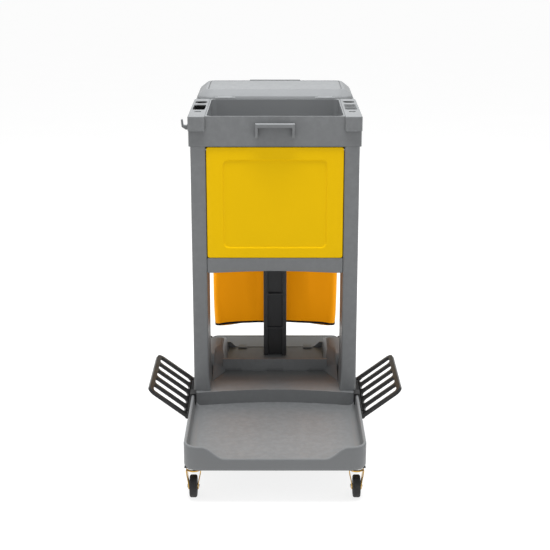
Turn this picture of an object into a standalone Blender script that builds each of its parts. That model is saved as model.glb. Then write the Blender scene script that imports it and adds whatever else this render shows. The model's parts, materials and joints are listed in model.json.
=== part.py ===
"""Housekeeping cart: a moulded base on two large rear wheels and two swivel casters, with two side
uprights, a rear column, a top tray, a cabinet with a flap door, a lidded bag frame with its
hanging bag, and two fold-out side racks. Metres, +Z up, -Y is the low deck end, origin on the floor."""

import math

import bmesh
import bpy
from mathutils import Vector

# Driving dimensions -------------------------------------------------------------------------
GAP = 0.0003  # clearance between pieces that touch
RUN = 0.0010  # clearance round a turning or sliding piece

HALF_WIDTH = 0.255  # tray and deck
DECK_REACH = 0.460  # deck front edge, ahead of the tray front
REAR_REACH = 0.652  # bag frame rear edge, behind the tray front
TRAY_Y = (DECK_REACH - REAR_REACH) / 2  # tray front face: puts the origin mid-length
TRAY_TOP = 1.010
TRAY_HEIGHT = 0.090
TRAY_DEPTH = 0.348
TRAY_WALL = 0.004
RAIL_WIDTH = 0.050  # the two side rails that hold tools
RAIL_HEIGHT = 0.043
RAIL_NOSE = 0.012  # how far a rail hangs over the tray's front
RAIL_PROUD = 0.001

DECK_BOTTOM = 0.092
DECK_FLOOR = 0.112  # top of the low deck's floor
DECK_RIM = 0.165
DECK_WALL = 0.009
DECK_LIP_LOW = 0.130  # the dip in the deck's front lip
DECK_CORNER = 0.045
DECK_DIP_EDGE = 0.050  # the dip's mouth, in from the deck's sides
DECK_DIP_SLOPE = 0.065
RISER_BOW = 0.030  # how far the step behind the low deck curves back at its middle

BASE_HALF = HALF_WIDTH - 0.005
BASE_TOP = 0.154
BASE_WALL = 0.005
BASE_START = -0.020  # this and the next two are measured back from the tray front
RIDGE_START = 0.180  # a low wall across the base
HOUSING_END = TRAY_DEPTH + 0.082  # back of the axle housing
RIDGE_TOP = BASE_TOP + 0.039
RIDGE_THICK = 0.010
TUB_FLOOR = BASE_TOP - 0.005  # between the wheel boxes
TUB_LIP = 0.001
BACK_WALL_RISE = 0.018
SLOT_X = 0.135  # the ridge's two outer drain notches
SLOT_HALF = 0.026

POST_WIDTH = 0.045
POST_DEPTH = 0.160
POST_FRONT_WALL = 0.024
POST_WALL = 0.004
POST_FLARE = 0.006

SHELF_TOP = 0.579
SHELF_HEIGHT = 0.046
SHELF_DEPTH = TRAY_DEPTH - 0.015
SHELF_WALL = 0.005
SHELF_ARCH = 0.006

COLUMN_WIDTH = 0.076
COLUMN_DEPTH = 0.034
COLUMN_FRONT = TRAY_DEPTH - 0.008
COLUMN_JOINTS = (BASE_TOP + 0.091, BASE_TOP + 0.209)  # heights of its two cross bands

WHEEL_RADIUS = 0.1015
WHEEL_WIDTH = 0.036
WHEEL_OUTER = BASE_HALF - 0.002
WHEEL_Y = HOUSING_END - 0.060
RIM_RADIUS = 0.078
HUB_RADIUS = 0.026
HUB_BOSS = 0.013  # how far a hub stands in from its wheel
AXLE_RADIUS = 0.008
WELL_GAP = 0.005
WELL_INSIDE = WHEEL_OUTER - WHEEL_WIDTH - HUB_BOSS - 1.5 * RUN
WHEEL_BOX_RISE = 0.007  # over the tyre's top
WHEEL_BOX_BACK = 0.022  # a wheel box ends this far ahead of the axle
CHEEK_WIDTH = 0.0375  # a wheel box's inner cheek, at its foot

PLATE_TOP = 0.1155
PLATE_THICK = 0.013
PLATE_HALF = BASE_HALF - 0.026
PLATE_START = WHEEL_Y + WHEEL_RADIUS + 0.0105
PLATE_END = REAR_REACH - 0.002
PLATE_NECK = WELL_INSIDE - 1.5 * RUN
PLATE_EDGE = 0.004
PLATE_SKIN = 0.006
CLIP_X = 0.095  # where each clip of the plate begins
CLIP_WIDTH = 0.031
FOOT_HALF = 0.0375

FRAME_HEIGHT = 0.040
FRAME_TOP = TRAY_TOP - 0.0065
FRAME_HALF = HALF_WIDTH - 0.0015
FRAME_SIDE = 0.042
FRAME_END = 0.017
FRAME_START = TRAY_DEPTH + 0.0045
FRAME_CORNER = 0.055
FRAME_WALL = 0.004

BAG_BOTTOM = 0.237
BAG_WALL = 0.003
BAG_FRONT = TRAY_DEPTH + 0.042
BAG_CORNER = 0.020

LID_HEIGHT = 0.030
LID_SLOPE = 0.026
LID_WALL = 0.0035
LID_INSET = 0.0020  # lid edge inside the bag frame's edge
LID_GRIP_TOP = 0.085
LID_GRIP_BOTTOM = 0.147
LID_GRIP_FLOOR = 0.004
LID_GROOVE = 0.0025
HINGE_EAR = 0.0052  # radius of the ears and knuckles
HINGE_INNER = 0.132
HINGE_OUTER = 0.187

DOOR_THICK = 0.012
DOOR_INSET = 0.004
DOOR_PANEL_DEPTH = 0.003
DOOR_PANEL_MARGIN = 0.048
CABINET_WALL = 0.003
PIN_RADIUS = 0.003
LID_PIN_RADIUS = 0.0025

RACK_ANGLE = math.radians(37.0)
RACK_WIDTH = 0.146
RACK_START = BASE_START - 0.048
RACK_LENGTH = 0.326
RACK_THICK = 0.010
RACK_RAIL = 0.014
RACK_RIB = 0.011
RACK_SLOT_START = 0.0115  # from the hinge axis
RACK_SLOTS = 5
RACK_HINGE_OUT = 0.014  # hinge axis outside the bracket plate's inner face
RACK_HINGE_Z = 0.095
RACK_BARREL = 0.007
LUG_LENGTH = 0.014
LUG_INSET = 0.020
BRACKET_THICK = 0.004
HOOK_LENGTH = 0.036

CASTER_X = HALF_WIDTH - 0.026
CASTER_Y = 0.055 - DECK_REACH  # swivel axis, from the tray front
CASTER_TRAIL = 0.018
CASTER_RADIUS = 0.032
CASTER_WIDTH = 0.021
CASTER_PLATE = 0.050
CASTER_AXLE = 0.003
FORK_THICK = 0.003

TYRE_STEPS = 40

COLOURS = {  # base colour, roughness, metallic
    "grey_plastic": ((0.19, 0.20, 0.205), 0.42, 0.0),
    "dark_plastic": ((0.055, 0.058, 0.060), 0.45, 0.0),
    "yellow_plastic": ((0.72, 0.46, 0.01), 0.38, 0.0),
    "black_plastic": ((0.012, 0.012, 0.012), 0.45, 0.0),
    "bag_fabric": ((0.75, 0.45, 0.01), 0.65, 0.0),
    "rubber": ((0.02, 0.02, 0.02), 0.7, 0.0),
    "amber_plastic": ((0.60, 0.28, 0.01), 0.35, 0.0),
    "steel": ((0.60, 0.60, 0.60), 0.25, 1.0),
    "zinc_steel": ((0.55, 0.33, 0.08), 0.30, 1.0),
}

SIDES = (("left", -1), ("right", 1))


# Making shapes ------------------------------------------------------------------------------
def clear_scene():
    for obj in list(bpy.data.objects):
        bpy.data.objects.remove(obj, do_unlink=True)


def material(name):
    found = bpy.data.materials.get(name)
    if found:
        return found
    colour, roughness, metallic = COLOURS[name]
    made = bpy.data.materials.new(name)
    made.use_nodes = True
    shader = made.node_tree.nodes["Principled BSDF"]
    shader.inputs["Base Color"].default_value = (*colour, 1.0)
    shader.inputs["Roughness"].default_value = roughness
    shader.inputs["Metallic"].default_value = metallic
    made.diffuse_color = (*colour, 1.0)
    return made


def solid(name, points, faces, finish):
    """One object from a closed set of faces, turned to face outwards."""
    mesh = bpy.data.meshes.new(name)
    mesh.from_pydata([tuple(point) for point in points], [], faces)
    shape = bmesh.new()
    shape.from_mesh(mesh)
    bmesh.ops.recalc_face_normals(shape, faces=shape.faces)
    shape.to_mesh(mesh)
    shape.free()
    obj = bpy.data.objects.new(name, mesh)
    bpy.context.scene.collection.objects.link(obj)
    if finish:
        mesh.materials.append(material(finish))
    return obj


def loft(name, rings, finish):
    """A closed body through equal rings of points, with a flat cap at each end."""
    count = len(rings[0])
    points = [point for ring in rings for point in ring]
    faces = [list(range(count))[::-1], [len(points) - count + i for i in range(count)]]
    for level in range(len(rings) - 1):
        for i in range(count):
            a = level * count + i
            b = level * count + (i + 1) % count
            faces.append([a, b, b + count, a + count])
    return solid(name, points, faces, finish)


def prism(name, outline, low, high, finish, axis="Z"):
    """An outline drawn out from low to high. Its pairs are (x, y) for Z, (y, z) for X, (z, x) for Y."""

    def place(pair, height):
        u, v = pair
        return {"Z": (u, v, height), "X": (height, u, v), "Y": (v, height, u)}[axis]

    rings = [[place(pair, height) for pair in outline] for height in (low, high)]
    return loft(name, rings, finish)


def block(name, low, high, finish):
    outline = [(low[0], low[1]), (high[0], low[1]), (high[0], high[1]), (low[0], high[1])]
    return prism(name, outline, low[2], high[2], finish)


def arc(centre, radius, start, end, steps):
    """Points of an arc from start to end, in degrees."""
    made = []
    for i in range(steps + 1):
        angle = math.radians(start + (end - start) * i / steps)
        made.append((centre[0] + radius * math.cos(angle), centre[1] + radius * math.sin(angle)))
    return made


def rounded(x0, x1, y0, y1, radius, steps=5):
    """A rectangle's outline with round corners, counterclockwise from the lower right."""
    corners = (
        ((x1 - radius, y0 + radius), -90),
        ((x1 - radius, y1 - radius), 0),
        ((x0 + radius, y1 - radius), 90),
        ((x0 + radius, y0 + radius), 180),
    )
    points = []
    for centre, start in corners:
        points += arc(centre, radius, start, start + 90, steps)
    return points


def rod(name, start, end, radius, finish, steps=20):
    """A round bar between two points."""
    start, end = Vector(start), Vector(end)
    along = (end - start).normalized()
    side = along.orthogonal().normalized()
    other = along.cross(side)
    rings = []
    for base in (start, end):
        ring = []
        for i in range(steps):
            angle = 2 * math.pi * i / steps
            ring.append(base + radius * (side * math.cos(angle) + other * math.sin(angle)))
        rings.append(ring)
    return loft(name, rings, finish)


def ring_body(name, profile, centre, finish, steps=TYRE_STEPS):
    """A closed profile of (radius, x) pairs turned about the X axis through the centre."""
    points, faces = [], []
    count = len(profile)
    for i in range(steps):
        angle = 2 * math.pi * i / steps
        for radius, x in profile:
            y = centre[1] + radius * math.cos(angle)
            z = centre[2] + radius * math.sin(angle)
            points.append((centre[0] + x, y, z))
    for i in range(steps):
        for j in range(count):
            a = i * count + j
            b = i * count + (j + 1) % count
            c = (i + 1) % steps * count + (j + 1) % count
            d = (i + 1) % steps * count + j
            faces.append([a, b, c, d])
    return solid(name, points, faces, finish)


def combine(obj, other, operation):
    """Boolean with a helper, which stays in the file hidden."""
    other.hide_render = True
    other.display_type = "WIRE"
    modifier = obj.modifiers.new(operation.lower() + "_" + other.name, "BOOLEAN")
    modifier.operation = operation
    modifier.object = other
    return obj


def cut(obj, cutter):
    return combine(obj, cutter, "DIFFERENCE")


def add(obj, other):
    return combine(obj, other, "UNION")


def bevel(obj, width, segments=2, angle=40):
    modifier = obj.modifiers.new("edges", "BEVEL")
    modifier.width = width
    modifier.segments = segments
    modifier.limit_method = "ANGLE"
    modifier.angle_limit = math.radians(angle)
    modifier.use_clamp_overlap = True
    return obj


def smooth(obj, angle=35):
    obj.data.shade_smooth()
    obj.data.set_sharp_from_angle(angle=math.radians(angle))
    return obj


def span(side, inner, outer):
    """The x range between two distances from the middle, on one side."""
    return (min(side * inner, side * outer), max(side * inner, side * outer))


# Base ---------------------------------------------------------------------------------------
def riser_curve(shift):
    """The step's front face in plan, from right to left, where the low deck meets the base."""
    steps = 10
    points = []
    for i in range(steps + 1):
        share = i / steps
        y = TRAY_Y + BASE_START + shift + RISER_BOW * math.sin(math.pi * share)
        points.append((BASE_HALF * (1 - 2 * share), y))
    return points


def deck_outline(inset):
    """The low deck in plan: round front corners, and a back edge that bows to meet the step."""
    half = HALF_WIDTH - inset
    front = TRAY_Y - DECK_REACH + inset
    back = TRAY_Y + BASE_START - GAP
    radius = DECK_CORNER - inset
    points = arc((half - radius, front + radius), radius, -90, 0, 5)
    if inset:
        points += [(half, back), (-half, back)]
    else:
        points += [(half, back), *riser_curve(-GAP), (-half, back)]
    return points + arc((radius - half, front + radius), radius, 180, 270, 5)


def front_deck():
    deck = prism("front_deck", deck_outline(0), DECK_BOTTOM, DECK_RIM, "grey_plastic")
    back = TRAY_Y + BASE_START
    inner = deck_outline(DECK_WALL)
    opened = [(x, y if y < back - 2 * DECK_WALL else y + 2 * RISER_BOW) for x, y in inner]
    cut(deck, prism("deck_well", opened, DECK_FLOOR, DECK_RIM + 0.02, None))
    dip = DECK_RIM - DECK_LIP_LOW
    front = TRAY_Y - DECK_REACH
    wide = HALF_WIDTH - DECK_DIP_EDGE
    curve = []
    for i in range(9):
        share = i / 8
        drop = dip * (1 + math.cos(math.pi * share)) / 2
        curve.append((DECK_RIM - drop, wide - DECK_DIP_SLOPE * (1 - share)))
    curve.append((DECK_RIM + 0.02, wide))
    outline = [(z, -x) for z, x in reversed(curve)] + curve
    cut(deck, prism("deck_dip", outline, front - 0.02, front + DECK_CORNER, None, "Y"))
    # Under the floor the deck is hollow, with a pad left in each front corner for its caster.
    reach = TRAY_Y + CASTER_Y + CASTER_PLATE / 2 + 0.008
    pad = CASTER_X - CASTER_PLATE / 2 - 0.008
    half = HALF_WIDTH - DECK_WALL
    end = back - DECK_WALL
    hollow = [
        (-pad, front + DECK_WALL),
        (pad, front + DECK_WALL),
        (pad, reach),
        (half, reach),
        (half, end),
        (-half, end),
        (-half, reach),
        (-pad, reach),
    ]
    cut(deck, prism("deck_hollow", hollow, DECK_BOTTOM - 0.02, DECK_FLOOR - BASE_WALL, None))
    bevel(deck, 0.0025, 2)


def wheel_centre(side=0):
    return (side * (WHEEL_OUTER - WHEEL_WIDTH / 2), TRAY_Y + WHEEL_Y, WHEEL_RADIUS)


def wheel_box(slab, word, side):
    """The box over the front half of a rear wheel, with an inner cheek that slopes up from the base."""
    centre = wheel_centre()
    foot, top = DECK_BOTTOM, 2 * WHEEL_RADIUS + WHEEL_BOX_RISE
    front, back = TRAY_Y + POST_DEPTH + 4 * GAP, centre[1] - WHEEL_BOX_BACK
    end = TRAY_Y + HOUSING_END
    corner = 0.035
    profile = [(front, foot), (back, foot), (back, top)]
    profile += arc((front + corner, top - corner), corner, 90, 180, 6)
    low, high = span(side, WELL_INSIDE - 0.002, BASE_HALF)
    add(slab, prism("wheel_box_" + word, profile, low, high, None, "X"))
    outer, inner = WELL_INSIDE + 0.003, WELL_INSIDE - CHEEK_WIDTH
    beside_post = BASE_HALF - POST_WIDTH - POST_FLARE - GAP - 0.0002
    ahead = RIDGE_START - 0.095 + TRAY_Y
    rings = []
    # height, then how far the front edge, the front inner corner, the back and the inside draw in
    for z, lead, corner_lead, tail, lean in (
        (foot, 0.0, 0.090, 0.0, 0.0),
        (BASE_TOP + 0.002, 0.0, 0.090, 0.0, 0.0),
        (BASE_TOP + 0.55 * (top - BASE_TOP), 0.080, 0.130, 0.010, 0.005),
        (top - 0.006, 0.130, 0.165, 0.070, 0.011),
        (top, 0.160, 0.185, 0.082, 0.020),
    ):
        knee = max(front, ahead + lead + 0.002)
        rings.append(
            [
                (side * beside_post, ahead + lead, z),
                (side * beside_post, knee, z),
                (side * outer, knee, z),
                (side * outer, end - tail, z),
                (side * (inner + lean), end - tail, z),
                (side * (inner + lean), ahead + corner_lead, z),
            ]
        )
    add(slab, loft("cheek_" + word, rings, None))
    radius = WHEEL_RADIUS + WELL_GAP
    well = arc(centre[1:], radius, 0, 180, 20)
    well += [(centre[1] - radius, foot - 0.03), (centre[1] + radius, foot - 0.03)]
    low, high = span(side, WELL_INSIDE, BASE_HALF + 0.01)
    cut(slab, prism("wheel_well_" + word, well, low, high, None, "X"))


def base():
    """The raised rear moulding: step, floor, ridge, tub and the two wheel boxes."""
    front = TRAY_Y + BASE_START
    slab_end = TRAY_Y + WHEEL_Y - WHEEL_RADIUS - WELL_GAP - 0.013
    outline = [*riser_curve(0.0), (-BASE_HALF, slab_end), (BASE_HALF, slab_end)]
    slab = prism("base_housing", outline, DECK_BOTTOM, BASE_TOP, "grey_plastic")
    half = WELL_INSIDE - CHEEK_WIDTH + 0.008
    start, end = TRAY_Y + RIDGE_START, TRAY_Y + HOUSING_END
    foot, rim = DECK_BOTTOM - 0.012, TUB_FLOOR + BACK_WALL_RISE
    back_wall = end - BASE_WALL
    housing = [
        (start, foot),
        (end, foot),
        (end, rim),
        (back_wall, rim),
        (back_wall, TUB_FLOOR),
        (start + RIDGE_THICK, TUB_FLOOR),
        (start + RIDGE_THICK, RIDGE_TOP),
        (start, RIDGE_TOP),
    ]
    tub_top = BASE_TOP + 0.001
    tub_low = (-half + 0.004, start + RIDGE_THICK, TUB_FLOOR)
    tub_high = (half - 0.004, end - BASE_WALL, tub_top + 0.02)
    cut(slab, block("tub", tub_low, tub_high, None))
    add(slab, prism("housing_block", housing, -half, half, None, "X"))
    for word, side in SIDES:
        wheel_box(slab, word, side)
    # The back wall dips to a low lip between its two ends, and the underside is open.
    lip, mouth = TUB_FLOOR + TUB_LIP, half - 0.012
    slope = mouth - CLIP_X - CLIP_WIDTH - 0.002
    dip = [(rim + 0.03, mouth), (rim + 0.001, mouth)]
    for i in range(1, 9):
        share = i / 8
        rise = BACK_WALL_RISE * (1 + math.cos(math.pi * share)) / 2
        dip.append((lip + rise, mouth - slope * share))
    dip += [(z, -x) for z, x in dip[::-1]]
    cut(slab, prism("saddle", dip, back_wall - 0.002, end + 0.01, None, "Y"))
    low = (-half + 0.008 + BASE_WALL, start + BASE_WALL, foot - 0.03)
    high = (half - 0.008 - BASE_WALL, end - BASE_WALL, TUB_FLOOR - BASE_WALL)
    cut(slab, block("housing_hollow", low, high, None))
    low = (-BASE_HALF + BASE_WALL, front + RISER_BOW + BASE_WALL, foot - 0.03)
    high = (BASE_HALF - BASE_WALL, start - BASE_WALL, BASE_TOP - BASE_WALL)
    cut(slab, block("base_hollow", low, high, None))
    y, z = wheel_centre()[1:]
    cut(slab, rod("axle_hole", (-BASE_HALF - 0.05, y, z), (BASE_HALF + 0.05, y, z), AXLE_RADIUS + GAP, None))
    for i, x in enumerate((-SLOT_X, 0.0, SLOT_X)):
        low = (x - SLOT_HALF, start - 0.004, BASE_TOP - 0.0005)
        high = (x + SLOT_HALF, start + RIDGE_THICK - 0.004, BASE_TOP + 0.008)
        cut(slab, block(f"drain_notch_{i}", low, high, None))
    return slab


def rear_plate():
    """The low plate under the bag, notched round the wheels, with a thin raised edge."""
    top, low = PLATE_TOP, PLATE_TOP - PLATE_THICK
    start, end = TRAY_Y + PLATE_START, TRAY_Y + PLATE_END
    neck = TRAY_Y + HOUSING_END + GAP
    corner = 0.022
    outline = [(PLATE_NECK, neck), (PLATE_NECK, start), (PLATE_HALF, start)]
    outline += arc((PLATE_HALF - corner, end - corner), corner, 0, 90, 5)
    outline += [(-x, y) for x, y in outline[::-1]]
    plate = prism("rear_plate", outline, low, top, "grey_plastic")
    edge = PLATE_EDGE
    panel = rounded(-PLATE_HALF + edge, PLATE_HALF - edge, start + edge, end - edge, corner - edge)
    cut(plate, prism("plate_panel", panel, top - 0.002, top + 0.01, None))
    half, under = PLATE_NECK - BASE_WALL, top - PLATE_SKIN
    hollow = rounded(-half, half, neck + 0.02, end - 0.015, 0.01)
    cut(plate, prism("plate_under", hollow, low - 0.01, under, None))
    bevel(plate, 0.001, 1)
    half, back = half - 0.010, end - 0.030
    rib_low, rib_high = (-half, back, low - 0.010), (half, back + 0.006, under - GAP)
    block("plate_rib", rib_low, rib_high, "grey_plastic")


def housing_blocks():
    """Two clips and the column's foot, hooked over the low lip at the back of the axle housing."""
    face = TRAY_Y + HOUSING_END + GAP
    seat, low = TUB_FLOOR + TUB_LIP + GAP, PLATE_TOP + GAP

    def hooked(name, x0, x1, reach, rise, thick):
        profile = [(face, low), (face + thick, low), (face + thick, seat + rise)]
        profile += [(face - reach, seat + rise), (face - reach, seat), (face, seat)]
        prism(name, profile, x0, x1, "grey_plastic", "X")

    for word, side in SIDES:
        hooked("plate_clip_" + word, *span(side, CLIP_X, CLIP_X + CLIP_WIDTH), 0.022, 0.003, 0.011)
    hooked("column_foot", -FOOT_HALF, FOOT_HALF, 0.038, 0.008, 0.015)


# Uprights, shelf and tray -------------------------------------------------------------------
def uprights():
    bottom, top = BASE_TOP + GAP, TRAY_TOP - TRAY_HEIGHT - GAP
    # the inner edge flares a little at the foot
    heights = ((bottom, POST_FLARE), (bottom + 0.03, POST_FLARE / 3), (bottom + 0.07, 0.0), (top, 0.0))
    for word, side in SIDES:
        rings = []
        for z, out in heights:
            x0, x1 = span(side, BASE_HALF - POST_WIDTH - out, BASE_HALF)
            rings.append([(x, y, z) for x, y in rounded(x0, x1, TRAY_Y, TRAY_Y + POST_DEPTH, 0.006, 3)])
        post = loft("side_upright_" + word, rings, "grey_plastic")
        low, high = span(side, BASE_HALF - POST_WIDTH + POST_WALL, BASE_HALF - POST_WALL)
        pocket_low = (low, TRAY_Y + POST_FRONT_WALL, bottom + 0.010)
        pocket_high = (high, TRAY_Y + POST_DEPTH + 0.02, top - 0.010)
        cut(post, block("post_pocket_" + word, pocket_low, pocket_high, None))
        start, end = door_pin_ends(side)
        start, end = Vector(start), Vector(end)
        reach = (end - start).normalized() * RUN
        cut(post, rod("pin_hole_" + word, start, end + reach, PIN_RADIUS + GAP, None, 16))
        smooth(post)


def column():
    """The dark column in front of the bag: a channel with two cross bands."""
    half = COLUMN_WIDTH / 2
    front = TRAY_Y + COLUMN_FRONT
    bottom, top = TUB_FLOOR + GAP, TRAY_TOP - TRAY_HEIGHT - GAP
    outline = rounded(-half, half, front, front + COLUMN_DEPTH, 0.004, 2)
    post = prism("rear_column", outline, bottom, top, "dark_plastic")
    stops = [bottom - 0.01, *COLUMN_JOINTS, top + 0.01]
    band, channel_half, back_half = 0.003, half - 0.014, half - 0.006
    for i in range(3):
        low = (-channel_half, front - 0.01, stops[i] + band)
        high = (channel_half, front + 0.012, stops[i + 1] - band)
        cut(post, block(f"channel_{i}", low, high, None))
    low = (-back_half, front + 0.020, bottom + 0.01)
    high = (back_half, front + COLUMN_DEPTH + 0.01, top - 0.01)
    cut(post, block("column_back", low, high, None))


def mid_shelf():
    """The shelf under the cabinet: between the uprights at the front, full width behind them."""
    narrow = BASE_HALF - POST_WIDTH - GAP
    step = TRAY_Y + POST_DEPTH + GAP
    front, back = TRAY_Y + 0.003, TRAY_Y + SHELF_DEPTH
    low, top = SHELF_TOP - SHELF_HEIGHT, SHELF_TOP
    wide, corner = BASE_HALF - 0.004, 0.020
    outline = [(narrow, front), (narrow, step), (wide, step)]
    outline += arc((wide - corner, back - corner), corner, 0, 90, 4)
    outline += [(-x, y) for x, y in outline[::-1]]
    shelf = prism("mid_shelf", outline, low, top, "grey_plastic")
    inner = [(narrow - SHELF_WALL, front + SHELF_WALL), (narrow - SHELF_WALL, back - SHELF_WALL)]
    inner += [(-x, y) for x, y in inner[::-1]]
    cut(shelf, prism("shelf_under", inner, low - 0.01, top - SHELF_WALL, None))
    # the front lip's lower edge arches
    mouth = narrow - 0.012
    arch = [(low - 0.01, mouth), (low - 0.0005, mouth)]
    for i in range(1, 12):
        share = i / 12
        arch.append((low - 0.0005 + SHELF_ARCH * math.sin(math.pi * share), mouth * (1 - 2 * share)))
    arch += [(low - 0.0005, -mouth), (low - 0.01, -mouth)]
    cut(shelf, prism("shelf_arch", arch, front - 0.01, front + 2 * SHELF_WALL, None, "Y"))
    bevel(shelf, 0.0015, 1)


def tray_slots(side, pieces):
    """The tool holes of one side, cut through the rail and the tray's side box under it."""
    x0, x1 = span(side, HALF_WIDTH - RAIL_WIDTH + 0.007, HALF_WIDTH - 0.006)
    if side < 0:
        holes = [("tool_hole", 0.250, 0.300, 0.016), ("tool_square", 0.120, 0.222, 0.009)]
    else:
        holes = [("tool_round", 0.262, 0.300, 0.016)]
        for i in range(3):
            start = 0.125 + 0.037 * i
            holes.append((f"tool_slot_{i}", start, start + 0.026, 0.007))
    for name, start, end, corner in holes:
        outline = rounded(x0, x1, TRAY_Y + start, TRAY_Y + end, corner, 3)
        cutter = prism(name, outline, TRAY_TOP - TRAY_HEIGHT - 0.02, TRAY_TOP + 0.02, None)
        for piece in pieces:
            cut(piece, cutter)


def top_tray():
    low, top = TRAY_TOP - TRAY_HEIGHT, TRAY_TOP
    back = TRAY_Y + TRAY_DEPTH
    outline = rounded(-HALF_WIDTH, HALF_WIDTH, TRAY_Y, back, 0.006, 3)
    tray = prism("top_tray", outline, low, top, "grey_plastic")
    edge = HALF_WIDTH - RAIL_WIDTH
    well = rounded(TRAY_WALL - edge, edge - TRAY_WALL, TRAY_Y + TRAY_WALL, back - TRAY_WALL, 0.018, 4)
    cut(tray, prism("tray_well", well, low + TRAY_WALL, top + 0.02, None))
    # Each side is a hollow box, open underneath behind its upright, and a rail lies on it.
    seat = TRAY_TOP - RAIL_HEIGHT - GAP
    for word, side in SIDES:
        x0, x1 = span(side, edge, HALF_WIDTH + 0.01)
        seat_low, seat_high = (x0, TRAY_Y - 0.01, seat), (x1, back + 0.01, top + 0.02)
        cut(tray, block("rail_seat_" + word, seat_low, seat_high, None))
        x0, x1 = span(side, edge + TRAY_WALL, HALF_WIDTH - TRAY_WALL)
        y0, y1 = TRAY_Y + POST_DEPTH + 0.006, back - TRAY_WALL
        cut(tray, block("side_hollow_" + word, (x0, y0, low - 0.02), (x1, y1, seat - TRAY_WALL), None))
        tray_slots(side, [tray, tool_rail(word, side)])
    smooth(tray)


def tool_rail(word, side):
    """One rail: a long cap over the tray's side box, with a nose that hangs over the front corner."""
    x0, x1 = span(side, HALF_WIDTH - RAIL_WIDTH + GAP, HALF_WIDTH + RAIL_PROUD)
    y0, y1 = TRAY_Y - RAIL_NOSE, TRAY_Y + TRAY_DEPTH - GAP
    low, top = TRAY_TOP - RAIL_HEIGHT, TRAY_TOP + RAIL_PROUD
    rings = []
    for z, inset in ((low, 0.0), (top - 0.003, 0.0), (top - 0.001, 0.001), (top, 0.003)):
        plan = rounded(x0 + inset, x1 - inset, y0 + inset, y1 - inset, 0.008 - inset, 4)
        rings.append([(x, y, z) for x, y in plan])
    rail = loft("tool_rail_" + word, rings, "grey_plastic")
    wall = TRAY_WALL
    hollow_low, hollow_high = (x0 + wall, y0 + wall, low - 0.01), (x1 - wall, y1 - wall, top - wall)
    cut(rail, block("rail_hollow_" + word, hollow_low, hollow_high, None))
    middle = (x0 + x1) / 2
    dent = rounded(middle - 0.010, middle + 0.010, TRAY_Y + 0.070, TRAY_Y + 0.092, 0.006, 3)
    cut(rail, prism("dent_" + word, dent, top - 0.0025, top + 0.01, None))
    return smooth(rail)


def tray_trim():
    """The front pull and the hook on the left."""
    front = TRAY_Y - GAP
    half, leg, drop, bar = 0.058, 0.008, 0.041, 0.011
    top = TRAY_TOP - 0.020
    # (z, x) pairs round an upside-down U
    outline = [
        (top, -half),
        (top, half),
        (top - drop, half),
        (top - drop, half - leg),
        (top - bar, half - leg),
        (top - bar, leg - half),
        (top - drop, leg - half),
        (top - drop, -half),
    ]
    pull = prism("tray_pull", outline, front - 0.024, front, "grey_plastic", "Y")
    bevel(pull, 0.0015, 2)
    x = -HALF_WIDTH - RAIL_PROUD - GAP
    z = TRAY_TOP - 0.036
    hook = [
        (z - 0.010, x),
        (z - 0.010, x - 0.008),
        (z - 0.002, x - 0.020),
        (z + 0.020, x - 0.022),
        (z + 0.020, x - 0.017),
        (z + 0.004, x - 0.015),
        (z + 0.002, x - 0.006),
        (z + 0.012, x),
    ]
    side_hook = prism("side_hook", hook, TRAY_Y + 0.038, TRAY_Y + 0.052, "grey_plastic", "Y")
    bevel(side_hook, 0.0008, 1)


# Cabinet ------------------------------------------------------------------------------------
def door_pin_ends(side):
    """Where one door pin begins inside the door and ends inside the upright."""
    edge = BASE_HALF - POST_WIDTH
    y, z = TRAY_Y + DOOR_INSET + DOOR_THICK / 2, TRAY_TOP - TRAY_HEIGHT - 0.010
    return (side * (edge - 0.014), y, z), (side * (edge + 0.010), y, z)


def cabinet():
    half = BASE_HALF - POST_WIDTH - GAP
    low, top = SHELF_TOP + GAP, TRAY_TOP - TRAY_HEIGHT - GAP
    front = TRAY_Y + DOOR_INSET + DOOR_THICK + 0.008
    back = TRAY_Y + COLUMN_FRONT - GAP
    shell = block("cabinet_shell", (-half, front, low), (half, back, top), "yellow_plastic")
    wall = CABINET_WALL
    opening_low = (-half + wall, front - 0.01, low + wall)
    opening_high = (half - wall, back - wall, top - wall)
    cut(shell, block("cabinet_room", opening_low, opening_high, None))
    front = TRAY_Y + DOOR_INSET
    half -= 0.0015
    low, top = low + 0.0012, top - 0.0025
    corner = 0.006
    outline = [(z, x) for z, x in rounded(low, top, -half, half, corner, 3)]
    door = prism("cabinet_door", outline, front, front + DOOR_THICK, "yellow_plastic", "Y")
    margin = DOOR_PANEL_MARGIN
    x0, x1 = -half + margin, half - margin
    z0, z1 = low + margin * 0.62, top - margin * 0.78
    rings = []
    for y, inset in ((front - 0.006, -0.006), (front + DOOR_PANEL_DEPTH, 0.003)):
        ring = rounded(z0 + inset, z1 - inset, x0 + inset, x1 - inset, 0.016, 4)
        rings.append([(x, y, z) for z, x in ring])
    cut(door, loft("door_panel", rings, None))
    pocket = rounded(low + 0.004, top - 0.026, -half + 0.004, half - 0.004, 0.010, 3)
    back_face = front + DOOR_THICK
    cut(door, prism("door_back", pocket, back_face - 0.006, back_face + 0.01, None, "Y"))
    for word, side in SIDES:
        start, end = door_pin_ends(side)
        rod("door_pin_" + word, start, end, PIN_RADIUS, "steel", 16)
        start = (start[0] - side * RUN, *start[1:])
        cut(door, rod("door_bore_" + word, start, end, PIN_RADIUS + GAP, None, 16))


# Bag frame, lid and bag ---------------------------------------------------------------------
def bag_opening(clearance):
    """The bag frame's opening in plan, grown by the clearance."""
    half = FRAME_HALF - FRAME_SIDE + clearance
    return rounded(
        -half,
        half,
        TRAY_Y + BAG_FRONT - 0.002 - clearance,
        TRAY_Y + REAR_REACH - FRAME_END + clearance,
        BAG_CORNER + clearance,
        5,
    )


def lid_axis():
    return TRAY_Y + FRAME_START + 0.007, FRAME_TOP + HINGE_EAR + 0.0016


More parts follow.
